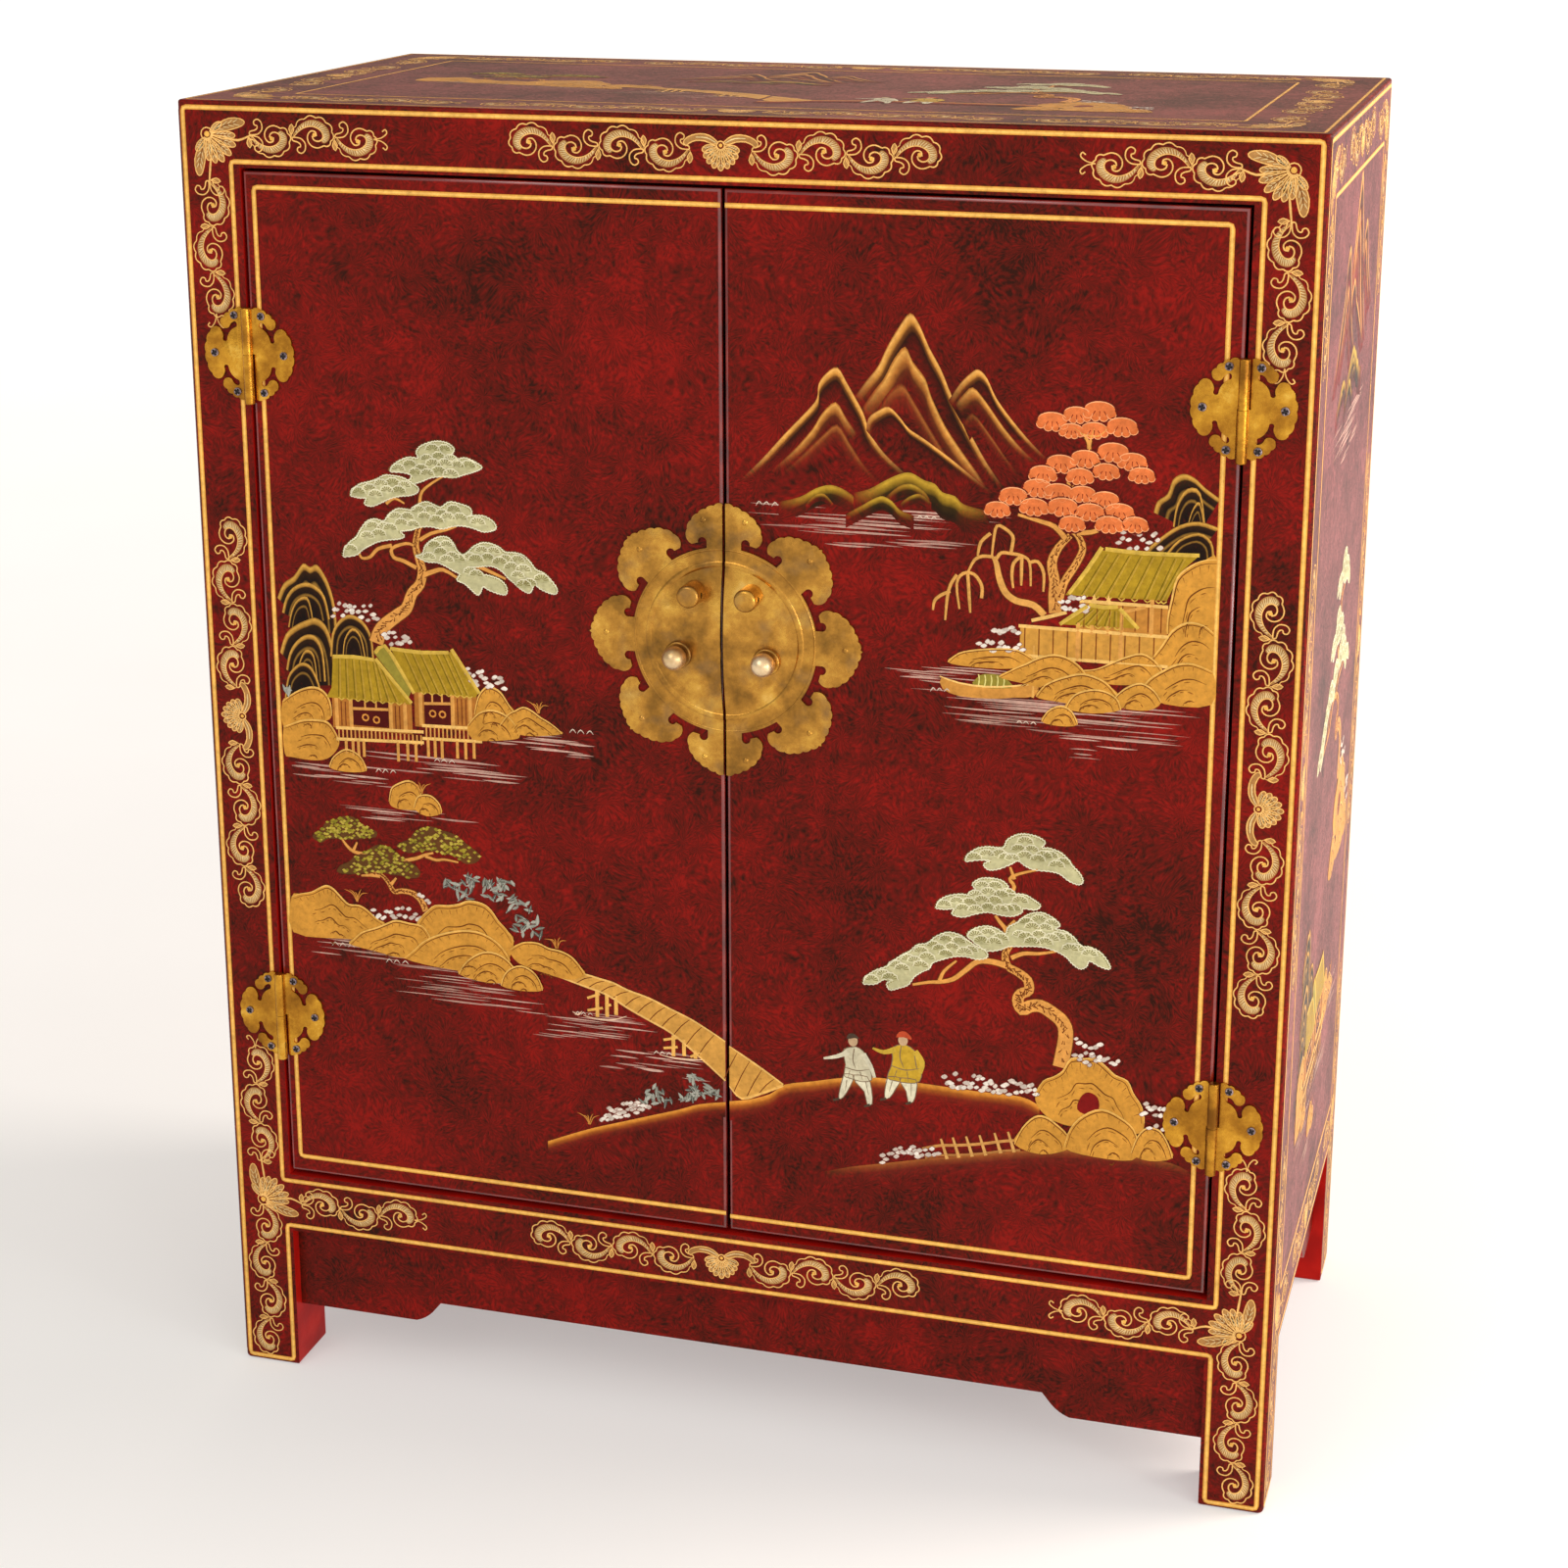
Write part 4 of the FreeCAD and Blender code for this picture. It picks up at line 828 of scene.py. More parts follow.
island = several(
    rock,
    ("55,364 62,367 70,369 77,373 82,375 87,373 92,368 98,363 106,363 112,360 118,355 125,351 | 115,340 "
     "90,337 55,338", 4),
    ("148,353 152,360 156,364 162,369 172,370 180,372 187,375 197,374 203,370 208,363 214,357 219,349 | "
     "210,330 180,328 155,338", 4),
    ("216,343 225,349 236,350 244,347 252,346 260,343 266,337 270,331 | 258,326 240,329 222,334", 3),
    ("97,334 103,340 108,344 118,348 126,352 133,355 143,354 152,353 157,347 160,338 | 140,328 115,331", 3),
    ("138,328 145,334 152,341 160,346 170,350 182,353 194,353 204,349 211,343 216,335 | 205,324 165,324", 4),
    ("178,321 182,328 188,334 197,339 206,339 214,335 220,328 223,321 | 200,317", 3),
    ("209,316 211,323 216,329 224,332 232,329 237,323 239,316 | 224,314", 3))
shore_left += reeds(241, 513, 9, 1) + reeds(155, 449, 9, 2)
island += reeds(105, 366, 10, 3) + reeds(250, 348, 9, 4)
painted("rocks_left", "left_door", shore_left + island, OVER)

shore_right = several(
    rock,
    ("655,600 655,610 657,622 660,636 668,644 676,648 684,649 | 684,606 670,600", 3),
    ("645,582 652,592 658,602 667,608 677,607 684,602 | 684,576 660,578", 3),
    ("602,572 612,574 622,579 630,583 640,586 648,582 653,576 | 645,567 615,565", 2),
    ("640,563 645,570 653,576 662,581 672,582 684,578 | 684,557 655,555", 3),
    ("517,571 524,577 535,580 550,582 562,582 572,577 | 560,570 530,569", 2),
    ("550,564 560,570 568,574 575,578 585,581 595,579 603,573 607,566 | 590,558 565,561", 3),
    ("574,553 578,559 583,563 592,567 603,570 613,568 620,564 626,557 | 610,550 585,551", 3),
    ("622,553 626,559 632,564 640,567 648,563 653,556 | 645,550 630,550", 2),
    ("593,547 596,553 600,557 608,560 617,560 625,556 628,549 | 610,545", 2),
    ("578,537 582,544 590,548 597,545 601,537 | 590,535", 2))
garden = rock("580,283 585,293 592,297 598,302 603,311 612,312 619,313 626,308 632,303 640,300 644,292 "
              "650,283 652,272 | 645,263 600,264 584,272", 3)
garden.append(fill("608,276 610,285 615,289 621,286 622,278 616,273", "75110F", 0.1, 3))
garden += several(
    rock,
    ("567,246 572,258 580,267 587,268 594,264 602,257 604,248 | 585,241", 3),
    ("600,248 604,262 612,272 624,278 636,274 645,267 649,256 | 645,245 620,244", 4),
    ("644,250 648,262 654,269 662,268 668,259 671,250 | 656,246", 2))
garden += several(
    blossoms, (605, 309, 634, 314, 14, 1), (604, 317, 622, 325, 9, 2), (650, 270, 668, 285, 15, 3))
painted("rocks_right", "right_door", shore_right + garden, OVER)

# Dark rocks behind the pavilions: gilt edges drawn inwards into black lacquer, fold behind fold.
# White blossoms hang round them, and drift along the banks below.
DARK_ROCK = ((0, "8A6024", 1), (0.03, "CE9A44", 1), (0.075, "A87830", 1), (0.11, "2E1B0C", 1),
             (0.24, "1A0F0A", 1), (0.29, "8A6428", 1), (0.34, "22130B", 1), (0.6, "180E0A", 1),
             (1.0, "2A1510", 1))
dark_left = []
for text, foot in (
        ("55,578 60,588 68,594 75,603 80,601 85,603 90,597 94,588 97,575 98,556", (78, 556)),
        ("58,568 61,578 67,586 76,590 84,588 90,581 93,566", (76, 560)),
        ("62,558 65,570 70,578 77,580 80,570 81,556", (72, 556)),
        ("55,540 60,553 68,560 76,564 82,566 88,563 92,556 95,542 96,520", (76, 518)),
        ("59,528 62,540 68,549 76,554 83,552 87,542 88,522", (74, 520)),
        ("66,520 69,534 74,543 80,540 82,522", (74, 519)),
        ("57,508 60,523 66,531 72,534 78,531 83,520 84,510", (70, 508)),
        ("92,540 94,556 99,565 106,570 113,569 119,564 123,555 124,540", (108, 540)),
        ("101,540 103,553 109,561 115,556 118,540", (109, 540))):
    dark_left.append(shaded(text, foot, DARK_ROCK, 0.05, foot=0, ends=0))
white_left = several(
    blossoms, (95, 568, 128, 577, 21, 4), (131, 552, 152, 560, 12, 5), (190, 529, 218, 541, 21, 6, -0.1),
    (114, 356, 160, 364, 24, 7), (150, 370, 160, 375, 4, 8), (284, 230, 306, 235, 10, 19, 0.3))
painted("dark_rocks_left", "left_door", dark_left + white_left, OVER)
dark_right = []
for text, foot in (("644,676 646,683 652,688 655,697 661,701 668,699 675,693 684,687", (672, 664)),
                   ("656,668 658,682 664,692 672,690 676,668", (667, 664)),
                   ("664,664 667,678 672,684 676,664", (670, 662)),
                   ("638,650 648,660 660,669 672,672 684,669", (668, 646)),
                   ("652,650 660,660 672,665 680,660 682,650", (668, 646))):
    dark_right.append(shaded(text, foot, DARK_ROCK, 0.05, foot=0, ends=0))
dark_right += several(
    blossoms, (622, 651, 650, 662, 15, 10), (588, 611, 606, 619, 14, 11), (536, 581, 566, 586, 15, 12),
    (546, 588, 562, 596, 8, 13), (519, 281, 581, 290, 51, 14), (476, 221, 517, 225, 21, 15, 0.3),
    (486, 229, 506, 234, 9, 16))
painted("dark_rocks_right", "right_door", dark_right, OVER)

# Hills that the bridge comes down to, low over both doors: one gilt line along the crest, wiped downwards
# into the ground with a dry brush until it is lost.
CREST = ((0, "D8923C", 1), (0.14, "CC802E", 1), (0.28, "A2581E", 0.85), (0.55, "7E2A16", 0.5),
         (1.0, "7A1A14", 0.0))
LOW_CREST = ((0, "A8632C", 0.8), (0.12, "8C4A22", 0.75), (0.4, "6B2417", 0.5), (1.0, "6B1B14", 0.0))
hill = shaded("371.4,251 385,254 400,260 410,268 430,273 450,278 470,281 500,281 540,280 570,280 583,275",
              14, CREST, 0.05, ends=0)
near_slope = shaded("240,204 258,212 275,219 295,226 315,233 335,240 350,246 368.6,250", 11, CREST, 0.05,
                    ends=0)
painted("hill_left", "left_door", [near_slope])
low_slope = shaded("437,208 455,214 475,219 495,224 515,229 540,234 565,240 600,246 640,248 670,246 683,241",
                   15, LOW_CREST, 0.06, ends=2)
painted("hill_right", "right_door", [hill, low_slope])

# The plank bridge from the island to the hill: gold planks between two paler edges, on posts with braces.
# It runs over both doors, so each door carries its own part of it, painted up to the meeting line; the right
# door's first plank seam starts a few millimetres past that line.
PLANK, PLANK_EDGE, POST_GOLD, WAKE = "CE9646", "E6B566", "E3AC58", "DDB99A"
PLANK_LEAN, BARK_LINE = 11.0, "6E3A12"


def bridge(upper, lower, first, last, spacing):
    """A sloping walk of planks between its two edges."""
    top, low = smoothed(upper, 3), smoothed(lower, 3)

    def edge_at(line, u):
        for a, b in zip(line, line[1:]):
            if a[0] <= u <= b[0]:
                return a[1] + (b[1] - a[1]) * (u - a[0]) / ((b[0] - a[0]) or 1)
        return line[0][1] if u < line[0][0] else line[-1][1]

    shapes = [fill(top + low[::-1], PLANK, 0.08, 0),
              line_stroke(top, 1.3, PLANK_EDGE, 0.1, (0.6, 0.8), 1, 0.08),
              line_stroke(low, 1.4, PLANK_EDGE, 0.1, (0.6, 0.8), 1, 0.08)]
    u = first
    while u < last:
        foot, head = edge_at(low, u), edge_at(top, u + PLANK_LEAN)
        seam = [(u, foot + 0.6), (u + PLANK_LEAN / 2, (foot + head) / 2 + 1), (u + PLANK_LEAN, head - 0.8)]
        shapes.append(line_stroke(seam, 0.7, BARK_LINE, 0.1, (0.9, 0.5), 2, 0.02, 0.85))
        u += spacing
    return shapes


bridge_left = []
for u, high, low in ((278, 320, 301), (285, 318, 302), (291.5, 318, 304), (332, 294, 279), (339.5, 292, 280),
                     (347.5, 285, 279)):
    bridge_left.append(line_stroke([(u, high), (u, low)], 2.6, POST_GOLD, 0.08, steps=1, rise=0.1))
for a, b in (((271, 314), (280, 318)), ((271, 305), (282, 308)), ((284, 310), (288, 311)),
             ((325, 290), (336, 293)), ((325, 284), (335, 286)), ((344, 280), (352, 284))):
    bridge_left.append(line_stroke([a, b], 1.8, POST_GOLD, 0.1, steps=1, rise=0.08))
bridge_left += [line_stroke(text, 1.2, WAKE, 0.08, (0.3, 0.3), 3, 0.04) for text in
                ("268,301 276,299.6 288,300 299,304", "260,303 264,301 267,304",
                 "322,279 332,277.6 345,278 354,279")]
bridge_left += bridge("228,334 240,335 255,333 270,331 280,329 290,327 300,323 315,319 330,313 345,307 "
                      "360,299 368.6,294",
                      "228,333 240,330 255,326 270,322 285,318 300,310 315,303 330,296 345,285 355,277 "
                      "368.6,265.6", 238, 356, 8.6)
painted("bridge_left", "left_door", bridge_left, OVER)
bridge_right = bridge("371.4,291 380,286 395,277 409,268", "371.4,262 380,254 395,260 409,267", 366, 392, 8.6)
bridge_right.append(line_stroke("380,254 395,260 409,267.6", 1.8, POST_GOLD, 0.1, steps=2))
painted("bridge_right", "right_door", bridge_right, OVER)

# Trees. Trunks and branches are gold with dark bark marks. The pines' flat pads are grey-green domes, combed
# with needle strokes and rimmed in cream. The broad-leaved trees have dotted olive leaves or orange fans.
BARK = "D8964A"
NEEDLE_WASH, NEEDLE_RIM, NEEDLE, FRINGE = "B9B286", "E0D9B8", "77743C", "8C8A4A"
CLUMP = 9.0


def limb(text, start, end, seed):
    """A branch that narrows along its length, marked with bark."""
    line = spots(text)
    shapes = [line_stroke(line, (start + 1.2, end + 0.9), BARK_LINE, 0.09, (1, 0.8), 3, 0.02, 0.9),
              line_stroke(line, (start, end), BARK, 0.1, (1, 0.8), 3, 0.14)]
    if start > 4:
        dice = random.Random(seed)
        path = smoothed(line, 4)
        for k in sorted(list(range(1, len(path) - 1)) * 2):
            (u, v), (a, b) = path[k], path[k + 1]
            size = math.hypot(a - u, b - v) or 1.0
            side = dice.uniform(-0.35, 0.35) * (start + (end - start) * k / len(path))
            u, v = u - (b - v) / size * side, v + (a - u) / size * side
            mark = [(u, v), (u + (a - u) / size * 2.6 + dice.uniform(-1, 1), v + (b - v) / size * 2.6)]
            shapes.append(line_stroke(mark, 1.0, BARK_LINE, 0.26, (0.8, 0.3), 1, 0.02, 0.85))
    return shapes


def inside(edge, u, v):
    within = False
    for (a, b), (c, d) in zip(edge, edge[1:] + edge[:1]):
        if (b > v) != (d > v) and u < (c - a) * (v - b) / (d - b) + a:
            within = not within
    return within


def clump_of_needles(u, v, size, body):
    """One small dome of needles on a pad: a wash, a fan combed over it and a pale rim."""
    dome = [(u + size * 0.62 * math.cos(k * math.pi / 6), v + size * 0.52 * math.sin(k * math.pi / 6))
            for k in range(7)]
    shapes = [fill(dome + [(u, v - size * 0.16)], body, 0.1, 2)]
    for k in range(7):
        a = math.radians(12 + 26 * k)
        needle = [(u + r * size * math.cos(a), v + r * size * 0.9 * math.sin(a)) for r in (0.14, 0.5)]
        shapes.append(line_stroke(needle, 0.7, NEEDLE, 0.11, (0.5, 1), 1, 0.01, 0.85))
    return shapes + [line_stroke(scalloped(dome, 5, 0.5), 0.75, NEEDLE_RIM, 0.12, (0.5, 0.5), 1, 0.05, 0.95)]


def extent(edge):
    """The lowest and highest u and v of a shape."""
    across, up = [u for u, v in edge], [v for u, v in edge]
    return min(across), max(across), min(up), max(up)


def pad(text):
    """A flat pad of pine needles: domed clumps laid over each other down from its top edge, with a fringe."""
    edge = spots(text)
    round_edge = smoothed(edge, 4, True)
    turn = 1 if sum(a[0] * b[1] - b[0] * a[1] for a, b in zip(edge, edge[1:] + edge[:1])) > 0 else -1
    dice = random.Random(len(text))
    shapes = [fill(edge, NEEDLE_WASH, 0.1, 3)]
    for k, (a, b) in enumerate(round_edge):
        c, d = round_edge[(k + 1) % len(round_edge)]
        long = math.hypot(c - a, d - b) or 1.0
        nu, nv = turn * (d - b) / long, -turn * (c - a) / long
        if nv > -0.2:
            hair = [(a - nu, b - nv), (a + nu * 1.3, b + nv * 1.3)]
            shapes.append(line_stroke(hair, 0.8, FRINGE, 0.1, (1, 0.4), 1, 0.01, 0.8))
    rim = scalloped((edge + edge[:1])[::-turn], 3 * len(edge), 0.5)
    shapes.append(line_stroke(rim, 0.8, NEEDLE_RIM, 0.12, (1, 1), 1, 0.06))
    left, right, low, high = extent(edge)
    for row in range(4):
        u = left + CLUMP * (0.6 + 0.45 * (row % 2))
        while u < right - CLUMP * 0.4:
            heights = [v / 2 for v in range(int(2 * low), int(2 * high)) if inside(round_edge, u, v / 2)]
            if heights:
                v = heights[-1] - CLUMP * (0.58 + 0.56 * row)
                if (v > heights[0] and inside(round_edge, u - CLUMP * 0.5, v)
                        and inside(round_edge, u + CLUMP * 0.5, v)):
                    size = CLUMP * dice.uniform(0.9, 1.08)
                    shapes += clump_of_needles(u, v, size, dice.choice((NEEDLE_WASH, "C6BF94", "ABA578")))
            u += CLUMP * 0.92
    return shapes


def limbs(seed, *given):
    return [shape for text, start, end in given for shape in limb(text, start, end, seed)]


pine_left = limbs(
    3, ("126,552 129,560 134,566 143,573 149,578 153,588 159,595 161,604 159,612 157,620 158,628 160,634",
        10, 4),
    ("157,606 148,610 141,612 140,618 150,622 156,621", 2.6, 2),
    ("140,620 130,617 124,611 118,610 116,614", 2.4, 1.6),
    ("160,625 168,630 178,633 186,636", 2.4, 1.6), ("161,601 168,604 176,606 186,601", 3.4, 2),
    ("190,607 197,610 204,609 212,606 220,603", 3, 1.8),
    ("161,633 161,643 161,651 163,658 170,664 178,669", 2.4, 1.4),
    ("137,648 143,652 150,649", 2, 1.2))
for text in (
        "141,670 142,673 147,677 154,680 161,680 160,684 163,688 170,691 176,692 182,691 186,688 185,685 "
        "181,682 188,681 194,682 200,680 205,677 203,675 198,673 192,671 186,669 178,669 170,668 163,665 "
        "157,663 152,662 156,668 150,670",
        "112,652 114,656 119,660 126,662 131,664 137,667 144,667 150,666 156,663 160,660 159,657 154,655 "
        "147,654 140,652 134,649 127,646 122,647 123,651 118,651",
        "105,610 106,615 110,620 115,624 118,629 123,635 129,637 135,636 139,641 145,645 151,645 156,645 "
        "160,649 166,651 172,649 176,648 182,652 190,651 196,649 197,645 193,643 199,644 206,644 212,641 "
        "214,637 211,635 205,634 198,636 190,637 183,636 176,634 168,635 160,634 155,632 150,631 146,630 "
        "149,627 145,625 138,624 130,622 124,619 119,616 114,612",
        "157,614 162,616 164,621 168,625 174,628 180,628 184,624 186,620 190,617 194,619 198,623 204,626 "
        "210,626 216,624 220,621 226,621 232,620 237,616 241,611 246,609 250,606 255,600 255,596 251,596 "
        "245,598 240,601 238,597 236,595 231,597 226,601 222,604 218,608 212,611 206,611 200,610 195,609 "
        "192,607 197,606 203,605 210,604 216,602 220,598 220,593 215,593 208,595 204,597 202,593 200,591 "
        "196,594 191,598 186,600 188,604 184,606 178,609 172,611 165,611"):
    pine_left += pad(text)
painted("pine_left", "left_door", pine_left, 0.0006)

pine_right = limbs(
    4, ("596,304 599,325 597,335 590,341 582,345 575,344 570,341 567,347 569,352 574,355 573,362 566,367 "
        "560,370 558,378 562,386", 10, 5),
    ("560,370 550,372 540,371 532,364 524,357 515,354 508,353 497,350", 4, 2),
    ("515,355 518,362 526,370", 2.4, 1.5), ("562,376 570,380 580,381 592,384", 3, 1.6),
    ("558,388 558,395 554,400 551,404", 3, 2), ("559,396 564,402", 2.4, 2),
    ("560,418 563,425 560,430 566,434 578,438", 2.6, 1.6), ("563,430 560,438", 2.4, 1.6))
for text in (
        "531,439 532,443 538,448 545,450 552,450 556,451 558,456 564,460 570,461 577,460 582,457 580,453 "
        "585,453 592,451 597,447 600,443 605,438 607,433 604,431 598,433 592,437 585,438 576,438 570,440 "
        "565,443 560,440 552,436 546,435 543,438 547,441 540,441",
        "512,405 514,410 520,414 528,416 534,416 538,420 536,424 541,428 548,429 555,428 559,424 556,421 "
        "562,420 570,420 576,417 580,414 577,411 569,411 568,408 562,405 554,405 546,406 538,404 530,401 "
        "523,402 524,406 518,405",
        "533,388 537,393 545,396 552,395 558,392 560,397 566,401 570,405 575,408 582,409 589,406 593,402 "
        "590,399 597,398 603,394 607,389 613,389 620,386 625,380 626,376 620,377 613,380 611,376 607,374 "
        "602,377 598,381 592,384 584,386 576,386 568,385 560,384 554,381 545,380",
        "464,347 466,352 472,357 480,361 484,365 490,370 495,373 500,378 507,380 512,385 520,389 528,388 "
        "533,385 538,382 545,379 546,375 540,373 532,374 524,373 516,370 510,367 508,363 503,360 498,356 "
        "494,350 488,347 482,345 480,349 484,352 478,352 472,348"):
    pine_right += pad(text)
painted("pine_right", "right_door", pine_right, 0.0006)

OLIVE_TRIES = 230
olive_tree = limbs(
    5, ("155,364 152,371 146,376 138,377 132,376 128,382 123,387 115,388", 4.4, 2.4),
    ("122,386 115,386 108,385", 2.4, 1.6), ("130,381 134,386", 2.4, 1.6),
    ("112,401 103,402 98,406 95,410", 2.4, 1.6), ("103,403 106,409", 2, 1.4),
    ("140,399 150,402 156,405 162,407", 2.6, 1.6), ("156,404 164,402 170,403 180,402", 2, 1.4))
for text in (
        "73,409 75,413 80,416 83,421 90,424 97,427 104,427 110,423 116,420 121,418 120,414 114,413 106,411 "
        "98,410 90,410 84,409 79,406",
        "135,409 140,413 145,415 148,420 154,424 161,426 168,424 174,423 180,421 185,417 191,413 196,409 "
        "195,405 190,402 184,402 178,406 170,407 162,408 152,407 144,405",
        "90,386 93,391 99,394 103,398 110,402 116,406 122,409 129,408 135,404 141,400 148,397 152,392 "
        "150,388 143,387 137,388 130,388 122,389 114,388 106,386 97,385"):
    edge = spots(text)
    olive_tree += [fill(edge, "5A3F1C", 0.1, 3, 0.8)]
    dice = random.Random(len(text))
    u0, u1, v0, v1 = extent(edge)
    for k in range(OLIVE_TRIES):
        u, v = dice.uniform(u0, u1), dice.uniform(v0, v1)
        if inside(edge, u, v):
            leaf = [(u - 1.5, v), (u, v - 1.0), (u + 1.5, v + 0.2), (u, v + 1.1)]
            olive_tree.append(fill(leaf, dice.choice(("9A8A2A", "7E7420", "B5A040")), 0.12, 0))
painted("olive_tree", "left_door", olive_tree, 0.0004)


def oval(u, v, half_width, half_height, start=0, sweep=360, corners=10):
    """Points round an oval, or along the part of it that sweep tells."""
    turns = [math.radians(start + sweep * k / corners) for k in range(corners + (sweep < 360))]
    return [(u + half_width * math.cos(t), v + half_height * math.sin(t)) for t in turns]


def leaf_fan(u, v, size):
    """A clump of orange leaves like an open fan: round lobes that hang under a flat dome."""
    shapes = [fill(oval(u, v + 0.06 * size, 1.5 * size, 1.0 * size), "5E160C", 0.1, 2)]
    round_leaf = 0.4 * size
    for x, y in ((-0.98, -0.14), (0.98, -0.14), (-0.34, -0.36), (0.34, -0.36)):
        a, b = u + x * size, v + y * size
        rim = oval(a, b, round_leaf, round_leaf, 180, 180, 6)
        shapes += [fill(oval(a, b, round_leaf, round_leaf), "D46C36", 0.12, 2),
                   line_stroke(rim, 0.5, "F0A06C", 0.14, (1, 1), 1, 0.06)]
    top = v + 0.24 * size
    rim = oval(u, top, 1.26 * size, 0.64 * size, 20, 140, 8)
    shapes += [fill(oval(u, top, 1.28 * size, 0.66 * size), "DA743E", 0.13, 2),
               line_stroke(rim, 0.7, "F2A874", 0.15, (0.5, 0.5), 1, 0.06)]
    for x in (-0.36, 0.0, 0.36):
        seam = [(u + x * size, v + 0.1 * size), (u + 1.9 * x * size, v - 0.42 * size)]
        shapes.append(line_stroke(seam, 0.6, "7A220E", 0.15, (1, 0.4), 1, 0.01, 0.85))
    return shapes


orange_tree = limbs(
    6, ("585,608 584,618 584,628 582,640 586,650 593,658", 8, 4.5),
    ("587,616 590,628 597,640 601,650 598,658 594,662 593,672 594,684", 5, 3),
    ("590,656 583,663 573,666 560,669", 3.4, 2), ("596,660 606,661 616,665 630,668", 3, 2),
    ("593,680 594,688 600,692 607,698 618,698", 2.8, 1.6), ("593,684 591,691 592,697", 2.4, 1.6),
    ("603,709 603,716 600,721 593,726", 2.6, 1.6), ("603,714 604,719 606,726", 2.2, 1.4),
    ("598,722 608,721 614,726", 2, 1.4))
for u, v, size in ((609, 736, 6.6), (595, 733, 5.6), (580, 728, 6.4), (623, 727, 6.4), (606, 724, 5.6),
                   (592, 723, 5), (618, 711, 6.6), (630, 706, 6), (601, 706, 6), (586, 702, 6.2),
                   (614, 699, 5.6), (636, 698, 5.4), (575, 695, 5.8), (598, 695, 5.6), (572, 686, 6.2),
                   (585, 684, 6.2), (600, 684, 5.6), (557, 680, 6), (614, 681, 6), (570, 674, 6),
                   (588, 675, 6.4), (623, 674, 6.2), (547, 671, 5.4), (605, 673, 6), (633, 667, 5.4),
                   (594, 665, 5.4), (617, 666, 5.8)):
    orange_tree += leaf_fan(u, v, 1.12 * size)
painted("orange_tree", "right_door", orange_tree, 0.0008)

willow = []
for text in ("578,606 571,612 560,614 553,619 549,628 547,637 545,641",
             "547,640 550,644 556,644 563,643 568,639 569,624", "563,643 558,638 557,630 558,622",
             "563,642 563,634 563,624", "568,639 573,640 577,633 577,621",
             "556,644 557,650 557,655 553,659 547,661 545,652 544,640", "543,656 537,650 535,641",
             "545,641 538,641 533,638 529,630", "538,614 538,622 533,629 526,629 522,622 524,606",
             "529,629 530,616 531,604", "522,628 518,621 516,612 515,598", "518,617 512,614 508,610 507,604"):
    line = spots(text)
    thick = 2.0 if willow else 4.2
    willow += [line_stroke(line, thick + 0.9, BARK_LINE, 0.08, (1, 0.6), 3, 0.02, 0.85),
               line_stroke(line, thick, "D79C50", 0.1, (1, 0.6), 3, 0.14)]
painted("willow", "right_door", willow, OVER)

# Pavilions by the water. The roofs are olive with raised gold tile lines. Posts, rails and plinths are gold
# over dark red openings.
ROOF, TILE, POST, DARK = "A3821F", "CDA846", "D2954A", "4A0F0B"
WALL, SHADED_WALL, RAIL, BOARD_LINE = "C8903E", "B97C34", "E8B868", "7A4216"


def bars(places, width, tint=POST):
    """Straight strokes: from one place to another in words, or upright ones as (u, low, high)."""
    runs = [place if isinstance(place, str) else [(place[0], place[1]), (place[0], place[2])]
            for place in places]
    return [line_stroke(run, width, tint, 0.1, (0.9, 0.9), 1, 0.1) for run in runs]


def roof(text, ridge, columns):
    """A tiled roof: the slope, its tile lines from ridge to eaves, a scalloped eave and a rolled ridge."""
    v0, v1 = extent(spots(text))[2:]
    shapes = [fill(text, ROOF, 0.08, 0)]
    for a, b in columns:
        shapes += [line_stroke([(a, v1 - 2), (b, v0 + 1)], 0.7, "6E5A10", 0.1, (0.7, 1), 1, 0.04),
                   line_stroke([(a + 1.2, v1 - 2), (b + 1.3, v0 + 1)], 0.7, TILE, 0.1, (0.7, 1), 1, 0.06,
                               0.7),
                   line_stroke([(b, v0 + 0.6), (b + 2, v0 - 0.9), (b + 4, v0 + 0.6)], 0.9, TILE, 0.1,
                               (0.8, 0.8), 2, 0.06)]
    return shapes + [line_stroke(line, 2.6, TILE, 0.14, (1, 0.9), 2, 0.3) for line in ridge]


pavilion_left = [fill("92,490 92,512 150,512 150,490", "A96A2A", 0.06, 0),
                 fill("152,496 152,521 197,521 197,496", "A96A2A", 0.06, 0),
                 fill("107,493 107,511 133,511 133,493", DARK, 0.08, 0),
                 fill("159,498 159,520 178,520 178,498", DARK, 0.08, 0)]
pavilion_left += bars(["107,504.6 133,506", "159,512.6 178,514"], 2.2)
pavilion_left += bars([(95, 490, 511), (105.5, 490, 511), (145, 491, 512), (156.5, 497, 520),
                       (179.5, 498, 520), (192, 498, 520), (134.6, 491, 511)], 3)
pavilion_left += bars([(116, 511, 506), (124, 511, 506), (165, 520, 514), (172, 520, 514)], 1.4)
for u, v in ((116, 499), (124, 498), (165, 506), (172, 506)):
    lattice = [(u + 2.2 * math.cos(k * math.pi / 4), v + 2.2 * math.sin(k * math.pi / 4)) for k in range(9)]
    pavilion_left.append(line_stroke(lattice, 1.2, "D08A3C", 0.12, steps=1))
pavilion_left += bars([(u, 492, 509) for u in (98.5, 101.5, 138, 141)], 0.8, "6E3012")
pavilion_left += bars([(u, 500, 518) for u in (183, 186, 189)], 0.8, "6E3012")
pavilion_left += bars([(u, 483, 490) for u in range(96, 158, 3)], 1.2)
pavilion_left += bars([(u, 489, 498) for u in range(160, 200, 3)], 1.2)
pavilion_left += bars([(101, 472, 482), (106, 471, 482), (110, 471, 483), (114, 471, 483), (139, 470, 484),
                       (146, 471, 484), (152, 471, 484), (161, 475, 489), (166, 475, 489), (171, 475, 489),
                       (182, 476, 489), (188, 476, 489), (194, 477, 489)], 2.3)
